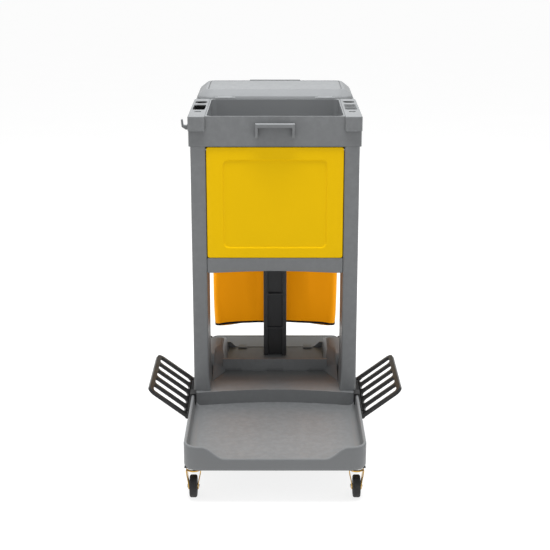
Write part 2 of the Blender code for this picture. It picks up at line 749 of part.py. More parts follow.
def bag_frame():
    low, top = FRAME_TOP - FRAME_HEIGHT, FRAME_TOP
    start, end = TRAY_Y + FRAME_START, TRAY_Y + REAR_REACH
    outline = rounded(-FRAME_HALF, FRAME_HALF, start, end, FRAME_CORNER, 6)
    frame = prism("bag_frame", outline, low, top, "grey_plastic")
    cut(frame, prism("bag_mouth", bag_opening(0), low - 0.02, top + 0.02, None))
    skirt = FRAME_WALL
    for word, side in SIDES:
        x0, x1 = span(side, FRAME_HALF - FRAME_SIDE + skirt, FRAME_HALF - skirt)
        y0, y1 = start + FRAME_CORNER, end - FRAME_CORNER
        cut(frame, block("frame_hollow_" + word, (x0, y0, low - 0.02), (x1, y1, top - skirt), None))
    y, z = lid_axis()
    for word, side in SIDES:
        for place, x in (("inner", HINGE_INNER), ("outer", HINGE_OUTER)):
            x0, x1 = span(side, x - 0.004, x + 0.004)
            ear = [(y - HINGE_EAR, top - 0.006), (y + HINGE_EAR, top - 0.006)]
            ear += arc((y, z), HINGE_EAR, 0, 180, 8)
            add(frame, prism(f"ear_{word}_{place}", ear, x0, x1, None, "X"))
    for word, side in SIDES:
        pin_start, pin_end = lid_pin_ends(side)
        pin_start = (pin_start[0] - side * 0.02, *pin_start[1:])
        pin_end = (pin_end[0] + side * 0.02, *pin_end[1:])
        cut(frame, rod("lid_bore_" + word, pin_start, pin_end, LID_PIN_RADIUS + GAP, None, 16))
    smooth(frame)
    for word, side in SIDES:
        # a dark tab under each rear corner keeps the bag's hoop in place
        x0, x1 = span(side, FRAME_HALF - FRAME_SIDE + 0.003, FRAME_HALF - 0.020)
        tab_low, tab_high = (x0, end - 0.050, low - GAP - 0.004), (x1, end - 0.024, low - GAP)
        block("bag_tab_" + word, tab_low, tab_high, "dark_plastic")


def lid_pin_ends(side):
    y, z = lid_axis()
    return (side * (HINGE_INNER - 0.0045), y, z), (side * (HINGE_OUTER + 0.0045), y, z)


def lid():
    """A shallow cover with sloping edges, a grooved top and a finger grip at the back."""
    bottom = FRAME_TOP + GAP
    top = bottom + LID_HEIGHT
    start = TRAY_Y + FRAME_START + 0.0145
    end = TRAY_Y + REAR_REACH - LID_INSET
    half = FRAME_HALF - LID_INSET

    def ring(z, inset, radius):
        points = rounded(-half + inset, half - inset, start + inset, end - inset, radius, 6)
        return [(x, y, z) for x, y in points]

    corner = FRAME_CORNER - LID_INSET
    sections = [
        (bottom, 0.0, corner),
        (bottom + 0.006, 0.0005, corner - 0.0005),
        (bottom + 0.012, 0.004, corner - 0.004),
        (top - 0.004, LID_SLOPE - 0.004, corner - LID_SLOPE + 0.004),
        (top, LID_SLOPE + 0.002, corner - LID_SLOPE - 0.002),
    ]
    cover = loft("lid", [ring(*section) for section in sections], "grey_plastic")
    wall = LID_WALL
    hollow = [
        (bottom - 0.01, wall, corner - wall),
        (bottom + 0.006, wall, corner - wall),
        (bottom + 0.012, 0.004 + wall, corner - 0.004 - wall),
        (top - 0.004 - wall, LID_SLOPE, corner - LID_SLOPE),
    ]
    cut(cover, loft("lid_hollow", [ring(*section) for section in hollow], None))
    # The grip is a scoop between two slanted cheeks, with a floor and a low lip over it.
    floor_top = bottom + LID_GRIP_FLOOR
    scoop, backing = [], []
    for z, share in ((floor_top, 0.0), (top + 0.004, 1.0)):
        width = LID_GRIP_BOTTOM + (LID_GRIP_TOP - LID_GRIP_BOTTOM) * share
        face = end - LID_SLOPE - 0.004 * (1 - share)
        back = end + 0.004
        scoop.append([(-width, face, z), (width, face, z), (width, back, z), (-width, back, z)])
        width += 0.006
        face -= 0.005
        z = min(z, top - 0.0015)
        back = face + 0.006
        backing.append([(-width, face, z), (width, face, z), (width, back, z), (-width, back, z)])
    add(cover, loft("grip_backing", backing, None))
    grip_half = LID_GRIP_BOTTOM + 0.006
    floor_low = (-grip_half, end - LID_SLOPE - 0.009, bottom)
    add(cover, block("grip_floor", floor_low, (grip_half, end - 0.002, floor_top + 0.001), None))
    lip_low = (-LID_GRIP_TOP, end - LID_SLOPE - 0.006, top - 0.003)
    add(cover, block("grip_lip", lip_low, (LID_GRIP_TOP, end - LID_SLOPE + 0.003, top + 0.002), None))
    cut(cover, loft("grip_scoop", scoop, None))
    inset = LID_SLOPE + 0.010
    border = [(x, y) for x, y, _ in ring(0, inset, 0.016)]
    outer = prism("groove_outer", border, top - 0.0015, top + 0.01, None)
    island = [(x, y) for x, y, _ in ring(0, inset + LID_GROOVE, 0.016 - LID_GROOVE)]
    cut(outer, prism("groove_island", island, top - 0.01, top + 0.02, None))
    cut(cover, outer)
    y, z = lid_axis()
    for word, side in SIDES:
        x0, x1 = span(side, HINGE_INNER + 0.0045, HINGE_OUTER - 0.0045)
        knuckle = arc((y, z), HINGE_EAR, 90, 270, 8)
        knuckle += [(start + 0.006, z - HINGE_EAR), (start + 0.006, z + HINGE_EAR)]
        add(cover, prism("knuckle_" + word, knuckle, x0, x1, None, "X"))
        pin_start, pin_end = lid_pin_ends(side)
        rod("lid_pin_" + word, pin_start, pin_end, LID_PIN_RADIUS, "steel", 16)
        cut(cover, rod("knuckle_bore_" + word, pin_start, pin_end, LID_PIN_RADIUS + GAP, None, 16))
    smooth(cover)


def bag():
    """The hanging bag: an open-topped sack, a little fuller at mid height."""
    top = FRAME_TOP - 0.004
    height = top - BAG_BOTTOM
    # share of the height, and how far the side draws in there
    profile = ((0.0, 0.007), (0.012, 0.002), (0.25, 0.0005), (0.5, -0.001), (0.93, 0.0), (1.0, 0.0))

    def section(share, draw):
        return [(x, y, BAG_BOTTOM + height * share) for x, y in bag_opening(-RUN - draw)]

    sack = loft("bag", [section(share, draw) for share, draw in profile], "bag_fabric")
    rings = [section(share, draw + BAG_WALL) for share, draw in profile[1:]]
    rings[-1] = [(x, y, z + 0.02) for x, y, z in rings[-1]]
    cut(sack, loft("bag_room", rings, None))
    smooth(sack)


# Side racks ---------------------------------------------------------------------------------
def rack_axis(side):
    return side * (HALF_WIDTH + GAP + RACK_HINGE_OUT), RACK_HINGE_Z


def rack_point(side, along, up):
    """A point of the rack's own plane, along it from the hinge and up from it, as (z, x)."""
    x, z = rack_axis(side)
    across = along * math.cos(RACK_ANGLE) - up * math.sin(RACK_ANGLE)
    rise = along * math.sin(RACK_ANGLE) + up * math.cos(RACK_ANGLE)
    return z + rise, x + side * across


def rack_plate(name, side):
    """The rack's outer shape, with round outer corners."""
    y0, y1 = TRAY_Y + RACK_START, TRAY_Y + RACK_START + RACK_LENGTH
    half = RACK_THICK / 2
    corner = 0.026
    plan = [(RACK_BARREL - 0.002, y0)]
    plan += arc((RACK_WIDTH - corner, y0 + corner), corner, -90, 0, 5)
    plan += arc((RACK_WIDTH - corner, y1 - corner), corner, 0, 90, 5)
    plan.append((RACK_BARREL - 0.002, y1))
    rings = []
    for up in (-half, half):
        ring = []
        for along, y in plan:
            z, x = rack_point(side, along, up)
            ring.append((x, y, z))
        rings.append(ring)
    return loft(name, rings, "black_plastic")


def rack_slot(name, side, start, length):
    """The cutter of one slot, square to the rack."""
    plan = rounded(RACK_SLOT_START, RACK_WIDTH - RACK_RAIL, start, start + length, 0.010, 3)
    rings = []
    for up in (-RACK_THICK, RACK_THICK):
        ring = []
        for along, y in plan:
            z, x = rack_point(side, along, up)
            ring.append((x, y, z))
        rings.append(ring)
    return loft(name, rings, None)


def racks():
    y0, y1 = TRAY_Y + RACK_START, TRAY_Y + RACK_START + RACK_LENGTH
    lugs = (y0 + LUG_INSET, y1 - LUG_INSET - LUG_LENGTH)
    pitch = (RACK_LENGTH - 2 * RACK_RAIL + RACK_RIB) / RACK_SLOTS
    for word, side in SIDES:
        x, z = rack_axis(side)
        rack = rack_plate("side_rack_" + word, side)
        add(rack, rod("barrel_" + word, (x, y0, z), (x, y1, z), RACK_BARREL, None, 16))
        for i in range(RACK_SLOTS):
            start = y0 + RACK_RAIL + pitch * i
            cut(rack, rack_slot(f"rack_slot_{word}_{i}", side, start, pitch - RACK_RIB))
        for i, start in enumerate(lugs):
            low = (x - 0.016, start - GAP, z - 0.014)
            high = (x + 0.016, start + LUG_LENGTH + GAP, z + 0.014)
            cut(rack, block(f"lug_room_{word}_{i}", low, high, None))
        rod("rack_pin_" + word, (x, y0 + 0.008, z), (x, y1 - 0.008, z), PIN_RADIUS, "steel", 16)
        bore_start, bore_end = (x, y0 + 0.007, z), (x, y1 - 0.007, z)
        cut(rack, rod("rack_bore_" + word, bore_start, bore_end, PIN_RADIUS + GAP, None, 16))
        smooth(rack)
        bracket(word, side, lugs)


def bracket(word, side, lugs):
    """A strip along the base that carries the rack's lugs and hooks over the deck's side wall."""
    x, z = rack_axis(side)
    y0, y1 = TRAY_Y + RACK_START, TRAY_Y + RACK_START + RACK_LENGTH
    inner, outer = HALF_WIDTH + GAP, HALF_WIDTH + GAP + BRACKET_THICK
    over = HALF_WIDTH - DECK_WALL - GAP  # the hook's leg inside the deck
    hook_end, hook_top = y0 + HOOK_LENGTH, DECK_RIM + 0.005

    def wall(name, near, far, low, high, end, finish=None):
        x0, x1 = span(side, near, far)
        return block(name + word, (x0, y0, low), (x1, end, high), finish)

    strip = wall("rack_bracket_", inner, outer, z - 0.010, DECK_RIM - 0.030, y1, "black_plastic")
    add(strip, wall("hook_post_", inner, outer, DECK_RIM - 0.040, hook_top, hook_end))
    add(strip, wall("hook_top_", over - BRACKET_THICK, outer, DECK_RIM + GAP, hook_top, hook_end))
    add(strip, wall("hook_leg_", over - BRACKET_THICK, over, DECK_RIM - 0.030, hook_top, hook_end))
    for i, start in enumerate(lugs):
        x0, x1 = span(side, inner + BRACKET_THICK / 2, abs(x) + 0.0055)
        low, high = (x0, start, z - 0.0055), (x1, start + LUG_LENGTH, z + 0.0055)
        add(strip, block(f"lug_{word}_{i}", low, high, None))
    cut(strip, rod("lug_bore_" + word, (x, y0, z), (x, y1, z), PIN_RADIUS + GAP, None, 16))


# Wheels -------------------------------------------------------------------------------------
def rear_wheels():
    y, z = wheel_centre()[1:]
    half = WHEEL_WIDTH / 2
    reach = WHEEL_OUTER + 0.006  # the axle's ends
    rod("axle", (-reach, y, z), (reach, y, z), AXLE_RADIUS, "steel", 24)
    crown = 0.006
    tyre = [
        (RIM_RADIUS + GAP, half - 0.004),
        (RIM_RADIUS + 0.008, half - 0.001),
        (WHEEL_RADIUS - 2 * crown, half),
        (WHEEL_RADIUS - crown / 2, half - crown),
        (WHEEL_RADIUS, half - 2 * crown),
    ]
    tyre += [(radius, -x) for radius, x in tyre[::-1]]
    bore = AXLE_RADIUS + GAP
    boss = HUB_RADIUS + GAP
    disc = [
        (boss, half - 0.006),
        (RIM_RADIUS * 0.42, half - 0.008),
        (RIM_RADIUS * 0.80, half - 0.012),
        (RIM_RADIUS * 0.86, half - 0.004),
        (RIM_RADIUS, half - 0.004),
    ]
    disc += [(radius, -x) for radius, x in disc[::-1]]
    hub = [(bore, half - 0.002), (HUB_RADIUS * 0.8, half - 0.002), (HUB_RADIUS, half - 0.005)]
    boss_end = -half - HUB_BOSS
    hub += [(HUB_RADIUS, boss_end + 0.004), (HUB_RADIUS * 0.85, boss_end), (bore, boss_end)]
    for word, side in SIDES:
        centre = wheel_centre(side)
        smooth(ring_body("rear_tyre_" + word, tyre, centre, "rubber"))
        smooth(ring_body("rear_rim_" + word, disc, centre, "dark_plastic"))
        turned = [(radius, side * x) for radius, x in hub]
        smooth(ring_body("rear_hub_" + word, turned, centre, "amber_plastic", 28))
        cap = [(bore, -0.003), (0.013, -0.003), (0.013, 0.001), (0.010, 0.003), (bore, 0.003)]
        cap = [(radius, side * x) for radius, x in cap]
        cap_x = side * (WHEEL_OUTER + 0.0035)
        smooth(ring_body("axle_cap_" + word, cap, (cap_x, y, z), "steel", 20))


def caster(word, side):
    """One swivel caster: plate, race, fork, axle, tyre and hub."""
    x, y = side * CASTER_X, TRAY_Y + CASTER_Y
    wheel_y = y - CASTER_TRAIL
    top = DECK_BOTTOM - GAP
    half = CASTER_PLATE / 2
    plate = block(
        "caster_plate_" + word, (x - half, y - half, top - 0.003), (x + half, y + half, top), "steel"
    )
    bevel(plate, 0.0008, 1)
    race_top = top - 0.003 - GAP
    rings = []
    for z, radius in ((race_top - 0.009, 0.019), (race_top - 0.004, 0.022), (race_top, 0.022)):
        rings.append([(*pair, z) for pair in arc((x, y), radius, 0, 360 - 15, 23)])
    smooth(loft("caster_race_" + word, rings, "steel"))
    crown = race_top - 0.009 - GAP
    leg_in = CASTER_WIDTH / 2 + RUN
    leg_out = leg_in + FORK_THICK
    axle_z = CASTER_RADIUS
    # side view (y, z) of the fork: from the crown down to round ends at the axle
    outline = [(y + 0.019, crown), (y - 0.019, crown)]
    outline += arc((wheel_y, axle_z), 0.0105, 170, 340, 8)
    fork = prism("caster_fork_" + word, outline, x - leg_out, x + leg_out, "zinc_steel", "X")
    low = (x - leg_in, wheel_y - 0.05, axle_z - 0.02)
    high = (x + leg_in, wheel_y + 0.08, crown - 0.004)
    cut(fork, block("fork_slot_" + word, low, high, None))
    ends = (x - leg_out - 0.003, x + leg_out + 0.003)
    axle_start, axle_end = ((end, wheel_y, axle_z) for end in ends)
    cut(fork, rod("fork_bore_" + word, axle_start, axle_end, CASTER_AXLE + GAP, None, 16))
    rod("caster_axle_" + word, axle_start, axle_end, CASTER_AXLE, "steel", 16)
    half = CASTER_WIDTH / 2
    core = CASTER_RADIUS * 0.62
    tyre = [(core + GAP, half), (CASTER_RADIUS - 0.004, half), (CASTER_RADIUS, half - 0.005)]
    tyre += [(radius, -across) for radius, across in tyre[::-1]]
    hub = [(CASTER_AXLE + GAP, half), (core * 0.5, half), (core * 0.6, half - 0.003), (core, half - 0.002)]
    hub += [(radius, -across) for radius, across in hub[::-1]]
    centre = (x, wheel_y, axle_z)
    smooth(ring_body("caster_tyre_" + word, tyre, centre, "rubber", 32))
    smooth(ring_body("caster_hub_" + word, hub, centre, "dark_plastic", 24))


def main():
    clear_scene()
    front_deck()
    base()
    rear_plate()
    housing_blocks()
    uprights()
    column()
    mid_shelf()
    top_tray()
    tray_trim()
    cabinet()
    bag_frame()
    lid()
    bag()
    racks()
    rear_wheels()
    for word, side in SIDES:
        caster(word, side)


main()
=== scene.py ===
"""Looks of the housekeeping cart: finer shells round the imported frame, a cloth bag, materials, light
and camera. Lengths are in metres."""

import json
import math

import bmesh
import bpy
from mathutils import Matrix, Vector, noise


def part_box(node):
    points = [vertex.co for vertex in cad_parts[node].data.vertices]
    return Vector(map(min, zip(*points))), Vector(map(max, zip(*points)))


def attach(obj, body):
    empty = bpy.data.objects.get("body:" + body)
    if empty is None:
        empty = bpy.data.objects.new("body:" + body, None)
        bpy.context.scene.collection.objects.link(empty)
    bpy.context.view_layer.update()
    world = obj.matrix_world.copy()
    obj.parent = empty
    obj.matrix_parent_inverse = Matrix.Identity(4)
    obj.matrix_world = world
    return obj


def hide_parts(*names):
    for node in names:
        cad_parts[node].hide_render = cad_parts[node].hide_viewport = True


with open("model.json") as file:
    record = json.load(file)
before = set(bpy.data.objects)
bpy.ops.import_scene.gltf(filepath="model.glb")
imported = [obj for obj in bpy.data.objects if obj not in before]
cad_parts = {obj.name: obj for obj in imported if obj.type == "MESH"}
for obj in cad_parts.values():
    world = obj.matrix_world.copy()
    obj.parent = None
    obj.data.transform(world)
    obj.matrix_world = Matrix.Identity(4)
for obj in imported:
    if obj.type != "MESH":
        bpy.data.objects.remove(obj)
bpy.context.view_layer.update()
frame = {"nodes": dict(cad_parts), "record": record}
NODES = frame["nodes"]
SIDES = (("left", -1), ("right", 1))
CAD_GAP = 0.0003  # between neighbours in the frame
PLASTIC_GREY = (0.136, 0.141, 0.145)
PLASTIC_DARK = (0.040, 0.041, 0.043)
PLASTIC_YELLOW = (0.670, 0.415, 0.0015)
PLASTIC_BLACK = (0.009, 0.009, 0.0095)
BAG_YELLOW = (0.680, 0.405, 0.006)
BAG_PAINTED_SHADE_ORANGE = (0.900, 0.340, 0.002)  # painted shade: the deeper orange of the bag's front panel, which sits in shade
BAG_PAINTED_GLOW = (0.190, 0.062, 0.0)  # painted glow: that panel gives off light, standing in for light that comes through it
BAG_FRONT_DEPTH = 0.026  # how far back from the bag's front that panel's folds reach, and with them its painted shade and glow
BAG_FRONT_BLEND = 0.014
AMBER = (0.62, 0.27, 0.006)
BLACK_CLOTH = (0.010, 0.010, 0.010)
CREAM = (0.60, 0.52, 0.36)


# Materials ----------------------------------------------------------------------------------
class Graph:
    """A material's node tree, built by short calls."""

    def __init__(self, name):
        self.material = bpy.data.materials.new(name)
        self.material.use_nodes = True
        self.tree = self.material.node_tree
        self.shader = self.tree.nodes["Principled BSDF"]
        self.place = self.node("ShaderNodeTexCoord").outputs["Object"]

    def node(self, kind, **values):
        made = self.tree.nodes.new(kind)
        for key, value in values.items():
            setattr(made, key, value)
        return made

    def link(self, output, target):
        self.tree.links.new(output, target)

    def stretched(self, scale):
        """The object's coordinates, stretched along their axes."""
        mapping = self.node("ShaderNodeMapping")
        mapping.inputs["Scale"].default_value = scale
        self.link(self.place, mapping.inputs["Vector"])
        return mapping.outputs["Vector"]

    def noise(self, scale, detail=2.0, rough=0.5, place=None):
        made = self.node("ShaderNodeTexNoise")
        made.inputs["Scale"].default_value = scale
        made.inputs["Detail"].default_value = detail
        made.inputs["Roughness"].default_value = rough
        self.link(place or self.place, made.inputs["Vector"])
        return made.outputs["Fac"]

    def ramp(self, value, stops):
        """A blend between two stops, each a position and a colour."""
        made = self.node("ShaderNodeValToRGB")
        ramp = made.color_ramp
        for element, (position, colour) in zip(ramp.elements, stops):
            element.position = position
            element.color = (*colour, 1)
        self.link(value, made.inputs["Fac"])
        return made.outputs["Color"]

    def span(self, value, low, high, start=0.0, end=1.0):
        """A value between start and end carried to one between low and high."""
        made = self.node("ShaderNodeMapRange")
        for socket, number in (("From Min", start), ("From Max", end), ("To Min", low), ("To Max", high)):
            made.inputs[socket].default_value = number
        self.link(value, made.inputs["Value"])
        return made.outputs["Result"]

    def math(self, operation, first, second=0.0):
        made = self.node("ShaderNodeMath", operation=operation)
        for socket, value in zip(made.inputs, (first, second)):
            if isinstance(value, bpy.types.NodeSocket):
                self.link(value, socket)
            else:
                socket.default_value = value
        return made.outputs[0]

    def mix(self, factor, first, second):
        made = self.node("ShaderNodeMix", data_type="RGBA")
        self.link(factor, made.inputs[0])
        for socket, value in ((made.inputs[6], first), (made.inputs[7], second)):
            if isinstance(value, bpy.types.NodeSocket):
                self.link(value, socket)
            else:
                socket.default_value = (*value, 1)
        return made.outputs[2]

    def edges(self, amount):
        """A patchy mask of the convex edges, where a painted highlight makes the moulding paler."""
        sharp = self.node("ShaderNodeNewGeometry").outputs["Pointiness"]
        patches = self.span(self.noise(55.0, 4.0, 0.7), 0.0, amount, 0.42, 0.62)
        return self.math("MULTIPLY", self.span(sharp, 0.0, 1.0, 0.515, 0.58), patches)

    def axes(self, vector=None):
        """The three parts of a vector, which is the place unless another is given."""
        separate = self.node("ShaderNodeSeparateXYZ")
        self.link(vector or self.place, separate.inputs["Vector"])
        return separate.outputs["X"], separate.outputs["Y"], separate.outputs["Z"]

    def bump(self, height, strength, distance, before=None):
        """A normal from a height, on top of an earlier normal."""
        made = self.node("ShaderNodeBump")
        made.inputs["Strength"].default_value = strength
        made.inputs["Distance"].default_value = distance
        self.link(height, made.inputs["Height"])
        if before:
            self.link(before, made.inputs["Normal"])
        return made.outputs["Normal"]

    def set(self, **values):
        """Sets the shader's inputs, named with an underscore for each space."""
        for name, value in values.items():
            socket = self.shader.inputs[name.replace("_", " ")]
            if isinstance(value, bpy.types.NodeSocket):
                self.link(value, socket)
            else:
                socket.default_value = value

    def gloss(self, level):
        self.shader.inputs["Specular IOR Level"].default_value = level


def shade(colour, factor):
    return tuple(min(1.0, channel * factor) for channel in colour)


def moulded(
    name, colour, roughness=0.42, grain=900.0, spread=0.025, scuffs=0.08, gloss=0.34, edge_highlight=0.35
):
    """Moulded plastic: a fine grain, faint cloudiness, scuffs that dull it, and convex edges made paler in
    patches by a painted highlight.
    """
    graph = Graph(name)
    cloud = graph.noise(5.0, 2.0, 0.5)
    body = graph.ramp(cloud, [(0.3, shade(colour, 1 - spread)), (0.7, shade(colour, 1 + spread))])
    # painted highlight: the paler colour laid on the convex edges
    highlight_colour = tuple(channel * 1.35 + 0.02 for channel in colour)
    wear = graph.noise(42.0, 6.0, 0.65, graph.stretched((1.0, 0.35, 1.0)))
    rough = graph.span(wear, roughness - scuffs, roughness + scuffs)
    pits = graph.noise(grain, 2.0, 0.6)
    soft = graph.noise(grain / 7.0, 2.0, 0.5)
    normal = graph.bump(pits, 0.12, 0.0002, graph.bump(soft, 0.05, 0.0004))
    graph.set(Base_Color=graph.mix(graph.edges(edge_highlight), body, highlight_colour), Roughness=rough, Normal=normal)
    graph.gloss(gloss)
    return graph.material


def rubber(name):
    """Black rubber with a little dust on it."""
    graph = Graph(name)
    dust = graph.noise(60.0, 5.0, 0.6)
    colours = graph.ramp(dust, [(0.35, (0.010, 0.010, 0.010)), (0.75, (0.028, 0.027, 0.026))])
    normal = graph.bump(graph.noise(700.0, 3.0, 0.6), 0.25, 0.0004)
    graph.set(Base_Color=colours, Roughness=graph.span(dust, 0.55, 0.80), Normal=normal)
    graph.gloss(0.4)
    return graph.material


def plated(name, first, second):
    """Plated steel, faintly brushed, between two tints."""
    graph = Graph(name)
    brushed = graph.noise(900.0, 2.0, 0.5, graph.stretched((1.0, 1.0, 6.0)))
    tint = graph.ramp(graph.noise(35.0, 3.0), [(0.3, first), (0.7, second)])
    graph.set(Base_Color=tint, Metallic=1.0, Roughness=graph.span(brushed, 0.14, 0.32))
    graph.set(Normal=graph.bump(brushed, 0.08, 0.0002))
    return graph.material


def woven(graph, threads):
    """The relief of two crossed bands of threads, this many to the metre."""
    x, y, z = graph.axes()
    waves = []
    for source in (graph.math("ADD", x, y), z):
        waves.append(graph.math("SINE", graph.math("MULTIPLY", source, threads * math.pi)))
    return graph.math("MULTIPLY", *waves)


def coated_cloth(name, colour, front):
    """A coated weave, with painted shade (a deeper orange) and a painted glow on the outside of the panel
    towards the cabinet.
    """
    graph = Graph(name)
    cloud = graph.noise(4.5, 3.0, 0.5, graph.stretched((1.0, 1.0, 0.35)))
    back = graph.ramp(cloud, [(0.25, shade(colour, 0.95)), (0.75, shade(colour, 1.04))])
    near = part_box("bag")[0].y + BAG_FRONT_DEPTH
    far = near + BAG_FRONT_BLEND
    behind = graph.span(graph.axes()[1], 0.0, 1.0, near, far)
    normal = graph.node("ShaderNodeNewGeometry").outputs["Normal"]
    turned_back = graph.span(graph.axes(normal)[1], 0.0, 1.0, -0.75, -0.15)
    outside_painted_front = graph.math("MAXIMUM", behind, turned_back)
    # painted shade: the outside of the front panel takes the deeper orange
    body = graph.mix(outside_painted_front, front, back)
    # painted glow: the outside of the front panel gives off light
    graph.set(Emission_Color=graph.mix(outside_painted_front, BAG_PAINTED_GLOW, (0.0, 0.0, 0.0)), Emission_Strength=1.0)
    crease = graph.noise(26.0, 4.0, 0.55, graph.stretched((1.0, 1.0, 0.28)))
    normal = graph.bump(woven(graph, 620.0), 0.10, 0.0003, graph.bump(crease, 0.12, 0.0015))
    graph.set(Base_Color=body, Roughness=graph.span(cloud, 0.50, 0.62), Normal=normal)
    graph.shader.inputs["Sheen Weight"].default_value = 0.04
    graph.shader.inputs["Sheen Roughness"].default_value = 0.4
    graph.gloss(0.10)
    return graph.material


def webbing(name, colour):
    """Ribbed tape."""
    graph = Graph(name)
    ribs = graph.noise(1400.0, 1.0, 0.5)
    tone = graph.ramp(ribs, [(0.3, shade(colour, 0.7)), (0.7, shade(colour, 1.6))])
    graph.set(Base_Color=tone, Roughness=0.8, Normal=graph.bump(ribs, 0.3, 0.0003))
    graph.gloss(0.2)
    return graph.material


def make_materials():
    return {
        "grey_plastic": moulded("grey_moulding", PLASTIC_GREY),
        "dark_plastic": moulded("charcoal_moulding", PLASTIC_DARK, 0.45),
        "yellow_plastic": moulded("yellow_moulding", PLASTIC_YELLOW, 0.42, 1100.0, 0.02, 0.06, 0.05, 0.10),
        "black_plastic": moulded("black_moulding", PLASTIC_BLACK, 0.42, 800.0, 0.2),
        "amber_plastic": moulded("amber_moulding", AMBER, 0.30, 1300.0, 0.06, 0.06),
        "bag_fabric": coated_cloth("bag_cloth", BAG_YELLOW, BAG_PAINTED_SHADE_ORANGE),
        "rubber": rubber("black_rubber"),
        "steel": plated("plated_steel", (0.55, 0.55, 0.54), (0.74, 0.74, 0.73)),
        "zinc_steel": plated("passivated_zinc", (0.42, 0.24, 0.03), (0.66, 0.40, 0.09)),
        # painted reflection: a dark steel whose tint stands in for the dark deck underside that the caster
        # plates reflect
        "dark_steel": plated("dark_steel", (0.07, 0.07, 0.07), (0.12, 0.12, 0.12)),
        "binding": webbing("black_binding", BLACK_CLOTH),
        "stud": moulded("cream_stud", CREAM, 0.35, 1300.0, 0.02, 0.05),
    }


MATERIALS = make_materials()
SLOT_OF = {row["node"]: row["material_slot"] for row in frame["record"]["subparts"]}


# Pieces -------------------------------------------------------------------------------------
SPLIT = 0.00002  # points of one CAD corner lie closer than this
FLAT_ANGLE = 0.6  # degrees between triangles that belong to one flat face


def object_of(name, mesh, body, slot, stands_for=(), finish=None):
    """A piece that rides on a body, and may stand for CAD nodes."""
    obj = bpy.data.objects.new(name, mesh)
    bpy.context.scene.collection.objects.link(obj)
    mesh.materials.clear()
    mesh.materials.append(MATERIALS[finish or slot])
    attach(obj, body)
    if stands_for:
        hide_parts(*stands_for)
    return obj


def body_of_node(node):
    for body, nodes in frame["record"]["behaviour"]["bodies"].items():
        if node in nodes:
            return body
    raise KeyError(node)


def closed_mesh(name, points, faces, angle=40):
    """A mesh with its faces turned outwards, smooth but for its sharp edges."""
    mesh = bpy.data.meshes.new(name)
    mesh.from_pydata([tuple(point) for point in points], [], faces)
    shape = bmesh.new()
    shape.from_mesh(mesh)
    bmesh.ops.recalc_face_normals(shape, faces=shape.faces)
    shape.to_mesh(mesh)
    shape.free()
    mesh.shade_smooth()
    mesh.set_sharp_from_angle(angle=math.radians(angle))
    return mesh


def bands(count, levels, start=0):
    """Quads between closed rings of so many points that follow each other."""
    faces = []
    for level in range(levels - 1):
        for i in range(count):
            a = start + level * count + i
            b = start + level * count + (i + 1) % count
            faces.append([a, b, b + count, a + count])
    return faces


def arc(centre, radius, start, end, steps):
    """Points of an arc from start to end, in degrees."""
    made = []
    for i in range(steps + 1):
        angle = math.radians(start + (end - start) * i / steps)
        made.append((centre[0] + radius * math.cos(angle), centre[1] + radius * math.sin(angle)))
    return made


def rounded(x0, x1, y0, y1, radius, steps=10):
    """A rectangle's outline with round corners, counterclockwise from the lower right."""
    corners = (
        ((x1 - radius, y0 + radius), -90),
        ((x1 - radius, y1 - radius), 0),
        ((x0 + radius, y1 - radius), 90),
        ((x0 + radius, y0 + radius), 180),
    )
    points = []
    for centre, start in corners:
        points += arc(centre, radius, start, start + 90, steps)
    return points


def evenly(points, count):
    """A closed outline cut into this many equal steps."""
    closed = points + points[:1]
    lengths = [0.0]
    for a, b in zip(closed, closed[1:]):
        lengths.append(lengths[-1] + math.dist(a, b))
    made = []
    leg = 0
    for i in range(count):
        target = lengths[-1] * i / count
        while lengths[leg + 1] < target:
            leg += 1
        share = (target - lengths[leg]) / (lengths[leg + 1] - lengths[leg] or 1.0)
        made.append(tuple(a + (b - a) * share for a, b in zip(closed[leg], closed[leg + 1])))
    return made


def turned(name, profile, centre, axis="X", steps=96, angle=35):
    """A closed profile of (radius, along) pairs turned about an axis through the centre."""
    points = []
    for i in range(steps):
        turn = 2 * math.pi * i / steps
        for radius, along in profile:
            u, v = radius * math.cos(turn), radius * math.sin(turn)
            offset = {"X": (along, u, v), "Y": (v, along, u), "Z": (u, v, along)}[axis]
            points.append(Vector(centre) + Vector(offset))
    count = len(profile)
    faces = bands(count, steps)
    last = (steps - 1) * count
    faces += [[last + i, last + (i + 1) % count, (i + 1) % count, i] for i in range(count)]
    return closed_mesh(name, points, faces, angle)


def settle(obj):
    """Applies an object's modifiers."""
    graph = bpy.context.evaluated_depsgraph_get()
    mesh = bpy.data.meshes.new_from_object(obj.evaluated_get(graph))
    obj.modifiers.clear()
    obj.data = mesh


def soften(obj, width, segments=3, angle=30):
    """Rounds the edges and keeps broad faces flat under smooth shading."""
    edges = obj.modifiers.new("edges", "BEVEL")
    edges.width = width
    edges.segments = segments
    edges.limit_method = "ANGLE"
    edges.angle_limit = math.radians(angle)
    edges.use_clamp_overlap = True
    edges.miter_outer = "MITER_ARC"
    normals = obj.modifiers.new("normals", "WEIGHTED_NORMAL")
    normals.keep_sharp = False
    normals.weight = 60
    obj.data.shade_smooth()


def merged(mesh):
    """A copy of a mesh with its split points joined and its flat faces whole."""
    shape = bmesh.new()
    shape.from_mesh(mesh)
    bmesh.ops.remove_doubles(shape, verts=shape.verts, dist=SPLIT)
    flat = math.radians(FLAT_ANGLE)
    bmesh.ops.dissolve_limit(shape, angle_limit=flat, verts=shape.verts, edges=shape.edges)
    copy = bpy.data.meshes.new(mesh.name + "_fine")
    shape.to_mesh(copy)
    shape.free()
    return copy


def refined(node, width, finish=None):
    """A rounded copy of a CAD node, which stands for it."""
    mesh = merged(NODES[node].data)
    obj = object_of(node + "_shell", mesh, body_of_node(node), SLOT_OF[node], (node,), finish)
    soften(obj, width, 2)


